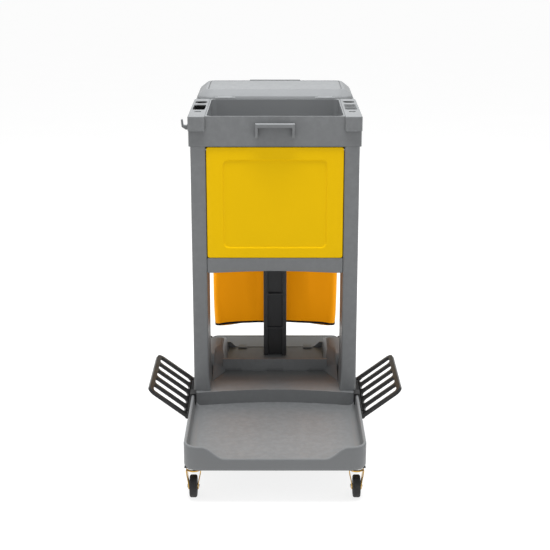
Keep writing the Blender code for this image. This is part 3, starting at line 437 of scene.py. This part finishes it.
ROUNDING = {  # radius of the edges of each shell
    "base_housing": 0.0030,
    "mid_shelf": 0.0025,
    "top_tray": 0.0018,
    "tray_pull": 0.0012,
    "side_hook": 0.0010,
    "bag_frame": 0.0020,
    "lid": 0.0014,
    "cabinet_door": 0.0012,
    "cabinet_shell": 0.0012,
    "rear_column": 0.0012,
    "rear_plate": 0.0012,
    "plate_rib": 0.0015,
    "column_foot": 0.0015,
}
ROUNDING_PAIRS = {
    "side_upright": 0.0020,
    "tool_rail": 0.0010,
    "plate_clip": 0.0015,
    "side_rack": 0.0026,
    "rack_bracket": 0.0010,
    "bag_tab": 0.0008,
}


def refine_all():
    """Rounds the edges of the pieces that keep their CAD shape."""
    for node, width in ROUNDING.items():
        refined(node, width)
    for node, width in ROUNDING_PAIRS.items():
        for word, _ in SIDES:
            refined(f"{node}_{word}", width)
    for word, _ in SIDES:
        # painted reflection: the caster plates are made dark, standing in for the dark deck underside they
        # reflect
        refined("caster_plate_" + word, 0.0008, "dark_steel")


def finish_frame():
    """Every CAD node that still shows gets its material."""
    for node, obj in NODES.items():
        obj.data.materials.clear()
        obj.data.materials.append(MATERIALS[SLOT_OF[node]])


# The low deck -------------------------------------------------------------------------------
DECK_FLOOR = 0.112
DECK_WALL = 0.009
DECK_CORNER = 0.045
DECK_DIP = 0.035  # how far the front lip falls
DECK_DIP_FLAT = 0.140
DECK_DIP_END = 0.205
DECK_FOOT = 0.009  # radius along the outer lower edge
DECK_COVE = 0.020  # radius where a wall meets the floor
DECK_DRAFT = 0.0012  # how much the wall thickens on its way down
DECK_SIDE_STEPS = 10
DECK_CORNER_STEPS = 12
DECK_FRONT_STEPS = 64
DECK_BACK_STEPS = 24


def deck_rim(x, full):
    """Height of the front lip at x."""
    share = (abs(x) - DECK_DIP_FLAT) / (DECK_DIP_END - DECK_DIP_FLAT)
    share = min(1.0, max(0.0, share))
    return full - DECK_DIP * (1 + math.cos(math.pi * share)) / 2


def deck_section(rim, bottom):
    """The wall's outline as (inset, height) pairs: outside, rounded rim, inside, cove, floor, underside."""
    half = DECK_WALL / 2
    foot = DECK_FOOT
    section = [(foot - x, bottom + foot - z) for x, z in arc((0, 0), foot, 90, 0, 5)]
    section += arc((half, rim - half), half, 180, 0, 8)
    inside = DECK_WALL + DECK_DRAFT
    height = min(1.0, (rim - half - DECK_FLOOR - 0.001) / DECK_COVE)
    for x, z in arc((DECK_COVE, DECK_COVE), DECK_COVE, 180, 270, 8):
        section.append((inside + x, DECK_FLOOR + z * height))
    reach = inside + DECK_COVE + 0.008
    return section + [(reach, DECK_FLOOR), (reach, bottom)]


def deck():
    """The deck as one swept wall round three sides, and a floor that meets the step behind."""
    low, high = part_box("front_deck")
    half, front = high.x, low.y
    base_low, base_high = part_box("base_housing")
    back = base_low.y - CAD_GAP
    base_half = base_high.x
    bow = high.y - back
    turn = DECK_CORNER

    def step_curve(x):
        """Where the bowed face of the step stands at x."""
        share = (1 - max(-1.0, min(1.0, x / base_half))) / 2
        return back + bow * math.sin(math.pi * share)

    path = []  # place, and the way inwards
    for i in range(DECK_SIDE_STEPS):
        path.append(((half, back + (front + turn - back) * i / DECK_SIDE_STEPS), (-1.0, 0.0)))
    for x, y in arc((0, 0), 1.0, 0, -90, DECK_CORNER_STEPS):
        path.append(((half - turn + turn * x, front + turn + turn * y), (-x, -y)))
    side = path[:-1]
    for i in range(1, DECK_FRONT_STEPS):
        path.append((((half - turn) * (1 - 2 * i / DECK_FRONT_STEPS), front), (0.0, 1.0)))
    path += [((-x, y), (-across, along)) for (x, y), (across, along) in reversed(side)]
    points = []
    floor = []
    last = len(path) - 1
    for index, ((px, py), (nx, ny)) in enumerate(path):
        ahead = py < front + turn * 0.5
        rim = deck_rim(px, high.z) if ahead else high.z
        section = deck_section(rim, low.z)
        for inset, z in section:
            x, y = px + nx * inset, py + ny * inset
            if index in (0, last):
                y = step_curve(x)
            points.append((x, y, z))
        floor.append(points[-2][:2])
    count = len(section)
    faces = bands(count, len(path))
    faces += [list(range(count)), [len(points) - count + i for i in range(count)][::-1]]
    edge = [floor[-1][0] * (1 - 2 * i / DECK_BACK_STEPS) for i in range(1, DECK_BACK_STEPS)]
    floor += [(x, step_curve(x)) for x in edge]
    start = len(points)
    points += [(x, y, z) for z in (DECK_FLOOR, low.z) for x, y in floor]
    size = len(floor)
    faces += [[start + i for i in range(size)], [start + size + i for i in range(size)]]
    faces += bands(size, 2, start)
    mesh = closed_mesh("deck_shell", points, faces, 50)
    object_of("deck_shell", mesh, "cart", "grey_plastic", ("front_deck",))


# The bag ------------------------------------------------------------------------------------
BAG_AROUND = 132  # points round the sack
BAG_STEP = 0.010  # height between its rows
BAG_HEM = 0.010  # height of the rows that hold the black binding round the foot
BAG_HEM_ROWS = 4
BAG_SKIN = 0.0012
BAG_BAND = 0.0030  # thickness of the binding and the hem
BAG_INSET = 0.001  # the cloth inside the space that the frame holds for it
BAG_FOOT = 0.0022
BAG_CORNER = 0.019
BAG_DRAW = 0.003  # how far the foot is drawn in
BAG_BELLY = 0.0012  # how far the sides stand out half way up
BAG_ARCH = 0.008  # how far the foot's middle rides above its corners
BAG_FLOOR_SAG = 0.0018
BAG_FLOOR_RINGS = (0.97, 0.90, 0.78, 0.64, 0.50, 0.36, 0.22, 0.10)
BAG_BROAD_FOLD = 0.0110
BAG_SLANT_FOLD = 0.0050
BAG_SLACK = 0.008  # the most that the cloth may move from its cut shape
STUD_DROP = 0.0075  # the stud's middle below the bag frame


def bag_heights(height):
    """Rows of the sack from its foot up, closer together in the binding."""
    rows = [BAG_HEM * i / BAG_HEM_ROWS for i in range(BAG_HEM_ROWS + 1)]
    count = round((height - BAG_HEM) / BAG_STEP)
    return rows + [BAG_HEM + (height - BAG_HEM) * (i + 1) / count for i in range(count)]


def bag_fold(place, centre, share):
    """How far the cloth stands out at a point, in soft upright folds that fade at the mouth."""
    turn = math.atan2(place.y - centre.y, place.x - centre.x)
    ring = Vector((math.cos(turn), math.sin(turn), 0.0))
    broad = noise.noise(Vector((ring.x * 2.6, ring.y * 2.6, share * 1.1 + 3.0)))
    slant = noise.noise(Vector((ring.x * 5.5 + share * 1.6, ring.y * 5.5, share * 2.2 + 9.0)))
    free = min(1.0, (1 - share) / 0.22) * (0.45 + 0.55 * min(1.0, share / 0.15))
    return free * (BAG_BROAD_FOLD * broad + BAG_SLANT_FOLD * slant)


def sack():
    """The sack's cloth as one skin: rings from the foot to the mouth, and rings across the floor."""
    low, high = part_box("bag")
    left, half = low.x + BAG_INSET, high.x - BAG_INSET
    outline = rounded(left, half, low.y + BAG_INSET, high.y - BAG_INSET, BAG_CORNER)
    outline = evenly(outline, BAG_AROUND)
    centre = Vector(((low.x + high.x) / 2, (low.y + high.y) / 2, 0.0))
    foot = low.z + BAG_FOOT
    height = high.z - foot
    points = []
    for rise in bag_heights(height):
        share = rise / height
        draw = BAG_DRAW * math.exp(-share / 0.03) - BAG_BELLY * math.sin(math.pi * share)
        for x, y in outline:
            place = Vector((x, y, 0.0))
            away = (place - centre).normalized()
            place += away * (bag_fold(place, centre, share) - draw)
            lift = BAG_ARCH * (1 - (x / half) ** 2) * math.exp(-rise / 0.08)
            points.append((place.x, place.y, foot + rise + lift))
    rows = len(points) // BAG_AROUND
    faces = bands(BAG_AROUND, rows)
    rim = points[:BAG_AROUND]
    start = len(points)
    for share in BAG_FLOOR_RINGS:
        drop = BAG_FLOOR_SAG * (1 - share ** 4)
        for x, y, z in rim:
            points.append((centre.x + (x - centre.x) * share, centre.y + (y - centre.y) * share, z - drop))
    faces += [list(reversed(face)) for face in bands(BAG_AROUND, len(BAG_FLOOR_RINGS), start)]
    end = len(points) - BAG_AROUND
    points.append((centre.x, centre.y, points[end][2]))
    following = [(i + 1) % BAG_AROUND for i in range(BAG_AROUND)]
    faces += [[after, i, start + i, start + after] for i, after in enumerate(following)]
    faces += [[end + after, end + i, len(points) - 1] for i, after in enumerate(following)]
    mesh = bpy.data.meshes.new("bag_sack")
    mesh.from_pydata(points, [], faces)
    mesh.update()
    return mesh, rows


def hang(obj, pinned, frames=20):
    """Lets the cloth settle under its weight from its pinned rim, and caps how far it may go."""
    cut = [vertex.co.copy() for vertex in obj.data.vertices]
    group = obj.vertex_groups.new(name="pinned")
    group.add(pinned, 1.0, "REPLACE")
    cloth = obj.modifiers.new("cloth", "CLOTH")
    settings = cloth.settings
    settings.quality = 6
    settings.mass = 0.20
    settings.tension_stiffness = 25
    settings.compression_stiffness = 10
    settings.shear_stiffness = 10
    settings.bending_stiffness = 0.6
    settings.vertex_group_mass = "pinned"
    settings.shrink_min = -0.009  # the cloth is cut a little larger than the sack
    settings.effector_weights.gravity = 0.25
    cloth.collision_settings.use_collision = False
    cloth.point_cache.frame_start = 1
    cloth.point_cache.frame_end = frames
    scene = bpy.context.scene
    for step in range(1, frames + 1):
        scene.frame_set(step)
    graph = bpy.context.evaluated_depsgraph_get()
    hung = [vertex.co.copy() for vertex in obj.evaluated_get(graph).data.vertices]
    obj.modifiers.remove(cloth)
    scene.frame_set(1)
    for vertex, old, new in zip(obj.data.vertices, cut, hung):
        move = new - old
        if move.length > BAG_SLACK:
            move *= BAG_SLACK / move.length
        vertex.co = old + move


def thickened(obj, thickness):
    """Turns a skin into cloth of this thickness, on a finer grid."""
    fine = obj.modifiers.new("fine", "SUBSURF")
    fine.levels = fine.render_levels = 1
    thick = obj.modifiers.new("thick", "SOLIDIFY")
    thick.thickness = thickness
    thick.offset = 0.0
    settle(obj)
    obj.data.shade_smooth()


def strip_of(name, mesh, first, last, finish):
    """A band sewn over the sack's rows from first to last, proud on both faces."""
    points = [mesh.vertices[i].co.copy() for i in range(first * BAG_AROUND, (last + 1) * BAG_AROUND)]
    band = bpy.data.meshes.new(name)
    band.from_pydata(points, [], bands(BAG_AROUND, last - first + 1))
    obj = object_of(name, band, "cart", "bag_fabric", finish=finish)
    thickened(obj, BAG_BAND)
    obj.data.set_sharp_from_angle(angle=math.radians(50))


def bag():
    """The hanging sack, its black foot binding, its hem and the stud at the back of its mouth."""
    mesh, rows = sack()
    obj = object_of("bag_cloth", mesh, "cart", "bag_fabric", ("bag",))
    hang(obj, list(range((rows - 4) * BAG_AROUND, rows * BAG_AROUND)))
    strip_of("bag_foot_binding", obj.data, 0, BAG_HEM_ROWS - 1, "binding")
    strip_of("bag_mouth_hem", obj.data, rows - 3, rows - 1, "bag_fabric")
    thickened(obj, BAG_SKIN)
    place = (0.0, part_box("bag")[1].y - BAG_INSET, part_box("bag_frame")[0].z - STUD_DROP)
    dome = [(0.0008, -0.002), (0.0052, -0.002), (0.0052, 0.0008)]
    dome += [(0.0040, 0.0020), (0.0020, 0.0027), (0.0008, 0.0028)]
    object_of("bag_stud", turned("bag_stud", dome, place, "Y", 32), "cart", "bag_fabric", finish="stud")


# Wheels -------------------------------------------------------------------------------------
TYRE_SHOULDER = 0.005
TYRE_GROOVES = (0.0088, 0.0)  # places across the tread, from its middle
TYRE_GROOVE_WIDTH = 0.0022
TYRE_GROOVE_DEPTH = 0.0026
SEAT_GAP = 0.0003  # between a tyre, its rim and its hub
HUB_BORE = 0.0083
WEBS = 8
WEB_INNER = 0.0042  # a web's width at the hub
WEB_OUTER = 0.0026
CASTER_BORE = 0.0033
CASTER_SHOULDER = 0.005
FORK_THICK = 0.0026
FORK_EYE = 0.0098  # radius of a leg's round end
FORK_INSIDE = 0.0117  # from the wheel's middle to a leg, at the axle
FORK_CROWN = 0.0215  # the crown's radius
FORK_SHOULDER = 0.0165  # half a leg's width at the crown
FORK_TOP = 0.002  # the legs start this far below the crown's top
FORK_STEPS = 14
NUT_SEAT = 0.0028  # how far in from the axle's ends its head and nut sit
POLE = 0.0006  # radius of the hole that a turned cap leaves in its middle


def mirrored(profile):
    """A profile and its own mirror image across the wheel's middle plane."""
    return profile + [(radius, -along) for radius, along in profile[::-1]]


def grooved(radius, half):
    """Half of a tread from its shoulder inwards: a round shoulder, then grooves."""
    middle = (half - TYRE_SHOULDER, radius - TYRE_SHOULDER)
    profile = [(r, x) for x, r in arc(middle, TYRE_SHOULDER, 0, 90, 6)]
    reach = TYRE_GROOVE_WIDTH / 2
    slope = 0.3 * TYRE_GROOVE_WIDTH
    floor = radius - TYRE_GROOVE_DEPTH
    for place in TYRE_GROOVES:
        profile += [(radius, place + reach), (floor, place + reach - slope)]
        if place > reach:
            profile += [(floor, place - reach + slope), (radius, place - reach)]
    return profile


def centre_of(node):
    """A node's middle and half of its size."""
    low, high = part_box(node)
    return (low + high) / 2, (high - low) / 2


def wheels():
    """The rear wheels: grooved tyres, dished rims and amber hubs."""
    for word, side in SIDES:
        middle, size = centre_of("rear_tyre_" + word)
        radius, half = size.z, size.x
        bead = centre_of("rear_rim_" + word)[1].z
        body = "rear_wheel_" + word
        tyre = [(bead + SEAT_GAP, half - 0.004), (bead + 0.004, half - 0.0012)]
        tyre += [(bead + 0.010, half - 0.0002), (bead + 0.0105, half - 0.0010)]
        tyre += [(bead + 0.0115, half - 0.0010), (bead + 0.012, half)]
        tyre += grooved(radius, half)
        mesh = turned("rear_tread_" + word, mirrored(tyre), middle, "X", 120)
        object_of("rear_tread_" + word, mesh, body, "rubber", ("rear_tyre_" + word,))
        rim(word, side, middle, half, bead, body)
        hub_middle, hub_size = centre_of("rear_hub_" + word)
        inner, outer = -hub_size.x, hub_size.x
        boss = hub_size.z
        hub = [(HUB_BORE, outer), (boss * 0.72, outer), (boss * 0.78, outer - 0.0012)]
        hub += [(boss * 0.94, outer - 0.0015), (boss, outer - 0.004), (boss, inner + 0.004)]
        hub += [(boss * 0.97, inner + 0.0015), (boss * 0.90, inner), (HUB_BORE, inner)]
        hub = [(r, side * x) for r, x in hub]
        mesh = turned("hub_boss_" + word, hub, hub_middle, "X", 64)
        object_of("hub_boss_" + word, mesh, body, "amber_plastic", ("rear_hub_" + word,))


def rim(word, side, middle, half, bead, body):
    """The wheel's centre: a dished disc inside a bead seat, with webs on its outer face."""
    boss = centre_of("rear_hub_" + word)[1].z + SEAT_GAP
    disc = [(boss, half - 0.006), (boss + 0.003, half - 0.0062), (boss + 0.006, half - 0.011)]
    disc += [(bead * 0.80, half - 0.013), (bead * 0.84, half - 0.0115), (bead * 0.865, half - 0.0045)]
    disc += [(bead * 0.885, half - 0.0035), (bead - 0.001, half - 0.0035), (bead, half - 0.0045)]
    mesh = turned("wheel_disc_" + word, mirrored(disc), middle, "X", 96)
    object_of("wheel_disc_" + word, mesh, body, "dark_plastic", ("rear_rim_" + word,))
    points = []
    faces = []
    ring = [0, 1, 3, 5, 4, 2]  # a web's end, round its outline
    for i in range(WEBS):
        turn = 2 * math.pi * (i + 0.5) / WEBS
        along = Vector((0, math.cos(turn), math.sin(turn)))
        across = Vector((0, -math.sin(turn), math.cos(turn)))
        start = len(points)
        for reach, width in ((boss + 0.002, WEB_INNER), (bead * 0.85, WEB_OUTER)):
            for depth, thin in ((0.014, width), (0.0068, width), (0.0062, width - 0.0008)):
                place = middle + along * reach + Vector((side * (half - depth), 0, 0))
                points += [place + across * (hand * thin / 2) for hand in (-1, 1)]
        faces.append([start + k for k in ring])
        faces.append([start + 6 + k for k in ring][::-1])
        for k in range(6):
            a, b = ring[k], ring[(k + 1) % 6]
            faces.append([start + a, start + b, start + 6 + b, start + 6 + a])
    mesh = closed_mesh("wheel_webs_" + word, points, faces, 30)
    object_of("wheel_webs_" + word, mesh, body, "dark_plastic")


def casters():
    """The front casters: tyres, hubs, ball races, forks, and the ends of their axles."""
    for word, side in SIDES:
        body = "caster_wheel_" + word
        middle, size = centre_of("caster_tyre_" + word)
        radius, half = size.z, size.x
        bead = centre_of("caster_hub_" + word)[1].z
        tyre = [(bead + SEAT_GAP, half - 0.0010), (bead + 0.0015, half - 0.0002), (radius - 0.006, half)]
        shoulder = (half - CASTER_SHOULDER, radius - CASTER_SHOULDER)
        tyre += [(r, x) for x, r in arc(shoulder, CASTER_SHOULDER, 0, 90, 8)]
        mesh = turned("caster_tread_" + word, mirrored(tyre), middle, "X", 80)
        object_of("caster_tread_" + word, mesh, body, "rubber", ("caster_tyre_" + word,))
        disc = [(CASTER_BORE, half - 0.0004), (bead * 0.36, half - 0.0004), (bead * 0.42, half - 0.0018)]
        disc += [(bead * 0.50, half - 0.0040), (bead * 0.78, half - 0.0042), (bead * 0.84, half - 0.0015)]
        disc += [(bead * 0.97, half - 0.0012), (bead, half - 0.0020)]
        mesh = turned("caster_disc_" + word, mirrored(disc), middle, "X", 64)
        object_of("caster_disc_" + word, mesh, body, "dark_plastic", ("caster_hub_" + word,))
        race_middle, race_size = centre_of("caster_race_" + word)
        r, h = race_size.x, race_size.z
        race = [(0.002, h), (r - 0.001, h), (r, h - 0.0008), (r, 0.0014), (r - 0.0022, 0.0006)]
        race += [(r - 0.0022, -0.0004), (r - 0.0004, -0.0010), (r - 0.0006, -0.0026)]
        race += [(r - 0.003, -h), (0.002, -h)]
        mesh = turned("caster_cup_" + word, race, race_middle, "Z", 64)
        object_of("caster_cup_" + word, mesh, "cart", "steel", ("caster_race_" + word,))
        fork(word, race_middle, middle)
        nut_middle, nut_size = centre_of("caster_axle_" + word)
        nuts(word, nut_middle, nut_size.x)


def fork(word, swivel, wheel):
    """A pressed fork: a round crown, and two legs that draw in and taper down to the axle."""
    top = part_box("caster_fork_" + word)[1].z
    crown = [(POLE, 0.0), (FORK_CROWN - 0.001, 0.0), (FORK_CROWN, -0.001)]
    crown += [(FORK_CROWN, -0.0036), (FORK_CROWN - 0.001, -0.0046), (POLE, -0.0046)]
    mesh = turned("fork_crown_" + word, crown, (swivel.x, swivel.y, top), "Z", 64)
    object_of("fork_crown_" + word, mesh, "caster_swivel_" + word, "zinc_steel", ("caster_fork_" + word,))
    upper = top - FORK_TOP
    heights = [upper - (upper - wheel.z) * i / FORK_STEPS for i in range(FORK_STEPS + 1)]
    heights += [wheel.z - FORK_EYE * math.sin(math.radians(angle)) for angle in (15, 30, 45, 60, 72, 82)]
    points = []
    faces = []
    for hand in (-1, 1):
        start = len(points)
        for z in heights:
            rise = max(0.0, (z - wheel.z) / (top - wheel.z))
            ease = rise * rise * (3 - 2 * rise)
            round_end = math.sqrt(FORK_EYE ** 2 - min(0.0, z - wheel.z) ** 2)
            half = round_end * (1 - ease) + FORK_SHOULDER * ease
            middle = wheel.y + (swivel.y - wheel.y) * ease
            inner = FORK_INSIDE + (FORK_CROWN - FORK_THICK - FORK_INSIDE) * ease
            outer = inner + FORK_THICK
            for across, along in ((inner, -half), (inner, half), (outer, half), (outer, -half)):
                points.append((wheel.x + hand * across, middle + along, z))
        faces += bands(4, len(heights), start)
        faces += [[start, start + 1, start + 2, start + 3], list(range(len(points) - 4, len(points)))]
    mesh = closed_mesh("fork_legs_" + word, points, faces, 40)
    obj = object_of("fork_legs_" + word, mesh, "caster_swivel_" + word, "zinc_steel")
    soften(obj, 0.0006, 2, 50)


def nuts(word, middle, reach):
    """A domed bolt head on one end of a caster's axle and a lock nut on the other, outside the fork."""
    body = "caster_swivel_" + word
    head = [(POLE, 0.0), (0.0050, 0.0), (0.0050, 0.0010)]
    head += [(0.0040, 0.0022), (0.0022, 0.0028), (POLE, 0.0030)]
    place = middle + Vector((reach - NUT_SEAT, 0, 0))
    object_of("axle_head_" + word, turned("axle_head_" + word, head, place, "X", 32), body, "steel")
    nut = [(0.0031, -0.0002), (0.0052, -0.0002), (0.0056, -0.0006)]
    nut += [(0.0056, -0.0024), (0.0050, -0.0030), (0.0031, -0.0030)]
    place = middle - Vector((reach - NUT_SEAT, 0, 0))
    object_of("axle_nut_" + word, turned("axle_nut_" + word, nut, place, "X", 6, 20), body, "steel")


# Trim ---------------------------------------------------------------------------------------
LID_INSET = 0.0020  # the lid's edge inside the bag frame's edge
LID_SLOPE = 0.026  # width of the slope round the lid's flat top
LID_GRIP_HALF = 0.085
NOSE_RADIUS = 0.0060
NOSE_STATIONS = 25
GROOVE_SHADE_INSET = 0.010  # the painted shadow strip, inside the flat top's edge
GROOVE_SHADE_CORNER = 0.016
GROOVE_SHADE_WIDTH = 0.0023
GROOVE_SHADE_GAP = 0.0001  # between the painted shadow strip and its groove
GROOVE_SHADE_LOW = 0.00345  # its lower and upper faces, below the lid's top
GROOVE_SHADE_HIGH = 0.0028


def lid_lip():
    """The rounded nose over the finger grip, from the lid's flat top down towards the scoop."""
    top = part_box("lid")[1].z
    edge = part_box("bag_frame")[1].y - LID_INSET - LID_SLOPE
    half, radius = LID_GRIP_HALF - 0.0005, NOSE_RADIUS
    last = NOSE_STATIONS - 1
    points = []
    for i in range(NOSE_STATIONS):
        x = half * (2 * i / last - 1)
        ease = min(1.0, (half - abs(x)) / 0.006 + 0.25)
        profile = [(edge - 0.004, top - 0.0025), (edge - 0.004, top + 0.0002)]
        for y, z in arc((edge + 0.001, top - radius + 0.0002), radius, 90, -8, 8):
            profile.append((edge + 0.001 + (y - edge - 0.001) * ease, z))
        profile.append((edge - 0.001, top - radius - 0.001))
        points += [(x, y, z) for y, z in profile]
    count = len(points) // NOSE_STATIONS
    faces = bands(count, NOSE_STATIONS)
    faces += [list(range(count)), list(range(last * count, len(points)))]
    object_of("lid_grip_nose", closed_mesh("lid_grip_nose", points, faces), "lid", "grey_plastic")


def lid_groove_shadow():
    """A dark strip in the lid's groove: painted shade, put where the joint's gap lies in shadow."""
    low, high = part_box("bag_frame")
    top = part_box("lid")[1].z
    end, start, half = high.y - LID_INSET, low.y + 0.0145, high.x - LID_INSET
    points = []
    for depth, across in ((GROOVE_SHADE_LOW, 0), (GROOVE_SHADE_HIGH, 0), (GROOVE_SHADE_HIGH, GROOVE_SHADE_WIDTH), (GROOVE_SHADE_LOW, GROOVE_SHADE_WIDTH)):
        inward = GROOVE_SHADE_GAP + across
        grow = LID_SLOPE + GROOVE_SHADE_INSET + inward
        corner = GROOVE_SHADE_CORNER - inward
        outline = rounded(grow - half, half - grow, start + grow, end - grow, corner, 8)
        points += [(x, y, top - depth) for x, y in outline]
    count = len(outline)
    faces = bands(count, 4)
    faces += [[3 * count + i, 3 * count + (i + 1) % count, (i + 1) % count, i] for i in range(count)]
    # painted shade: a dark strip that stands in for the shadow in the groove
    object_of("lid_groove_shadow_strip", closed_mesh("lid_groove_shadow_strip", points, faces), "lid", "dark_plastic")


# Stage --------------------------------------------------------------------------------------
FLOOR_REACH = 30.0
FLOOR_GLOW = 0.80  # a white studio floor lit through from below
FLOOR_WHITE = 0.26
SKY_LIGHT = 0.66
OVERHEAD_POWER = 165.0
FILL_POWER = 22.0
CAMERA_LENS = 84.0  # mm
CAMERA_AWAY = 3.73  # from the tray's front
CAMERA_HEIGHT = 1.60
CAMERA_AIM = 0.50


def stage():
    """A pale studio floor."""
    corners = ((-1, -1), (1, -1), (1, 1), (-1, 1))
    mesh = bpy.data.meshes.new("studio_floor")
    mesh.from_pydata([(FLOOR_REACH * x, FLOOR_REACH * y, 0) for x, y in corners], [], [(0, 1, 2, 3)])
    floor = bpy.data.objects.new("studio_floor", mesh)
    bpy.context.scene.collection.objects.link(floor)
    graph = Graph("studio_paper")
    tones = [(place, (FLOOR_WHITE * tone,) * 3) for place, tone in ((0.2, 0.98), (0.8, 1.02))]
    paper = graph.ramp(graph.noise(3.0, 2.0), tones)
    graph.set(Base_Color=paper, Roughness=0.9)
    graph.gloss(0.0)
    graph.shader.inputs["Emission Color"].default_value = (1, 1, 1, 1)
    graph.shader.inputs["Emission Strength"].default_value = FLOOR_GLOW
    mesh.materials.append(graph.material)


def lamp(name, place, target, size, power):
    """A softbox that lights surfaces without showing in them, as a broad diffuser does."""
    light = bpy.data.lights.new(name, "AREA")
    light.shape = "RECTANGLE"
    light.size, light.size_y = size
    light.energy = power
    obj = bpy.data.objects.new(name, light)
    obj.location = place
    obj.rotation_euler = (Vector(target) - Vector(place)).to_track_quat("-Z", "Y").to_euler()
    obj.visible_glossy = False
    bpy.context.scene.collection.objects.link(obj)


def lights():
    """A white surround, brighter to look at than the light it gives, a softbox overhead and four fills."""
    world = bpy.data.worlds.new("studio")
    world.use_nodes = True
    tree = world.node_tree
    seen = tree.nodes["Background"]
    seen.inputs["Color"].default_value = (1, 1, 1, 1)
    seen.inputs["Strength"].default_value = 1.0
    given = tree.nodes.new("ShaderNodeBackground")
    given.inputs["Color"].default_value = (1, 1, 1, 1)
    given.inputs["Strength"].default_value = SKY_LIGHT
    path = tree.nodes.new("ShaderNodeLightPath")
    choose = tree.nodes.new("ShaderNodeMixShader")
    tree.links.new(path.outputs["Is Camera Ray"], choose.inputs[0])
    tree.links.new(given.outputs[0], choose.inputs[1])
    tree.links.new(seen.outputs[0], choose.inputs[2])
    tree.links.new(choose.outputs[0], tree.nodes["World Output"].inputs["Surface"])
    bpy.context.scene.world = world
    lamp("overhead", (0, -0.05, 3.2), (0, -0.05, 0), (1.5, 1.5), OVERHEAD_POWER)
    lamp("front_fill", (0, -4.5, 1.0), (0, 0, 0.5), (3.0, 1.6), FILL_POWER)
    lamp("rear_fill", (0, 4.5, 1.3), (0, 0, 0.4), (3.0, 2.0), 2.0 * FILL_POWER)
    for word, side in SIDES:
        lamp("side_fill_" + word, (side * 4.0, 0.2, 0.9), (0, 0.1, 0.3), (3.0, 1.6), 0.9 * FILL_POWER)


def camera():
    """In front of the deck's end, above the cart, and aimed at its middle."""
    data = bpy.data.cameras.new("view")
    data.sensor_width = 36.0
    data.lens = CAMERA_LENS
    obj = bpy.data.objects.new("view", data)
    tray_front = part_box("top_tray")[0][1]
    obj.location = (0.0, tray_front - CAMERA_AWAY, CAMERA_HEIGHT)
    target = Vector((0.0, 0.0, CAMERA_AIM))
    obj.rotation_euler = (target - obj.location).to_track_quat("-Z", "Y").to_euler()
    bpy.context.scene.collection.objects.link(obj)
    bpy.context.scene.camera = obj


bpy.context.scene.view_settings.view_transform = "Standard"
camera()
stage()
lights()
finish_frame()
deck()
bag()
wheels()
casters()
lid_lip()
lid_groove_shadow()
refine_all()
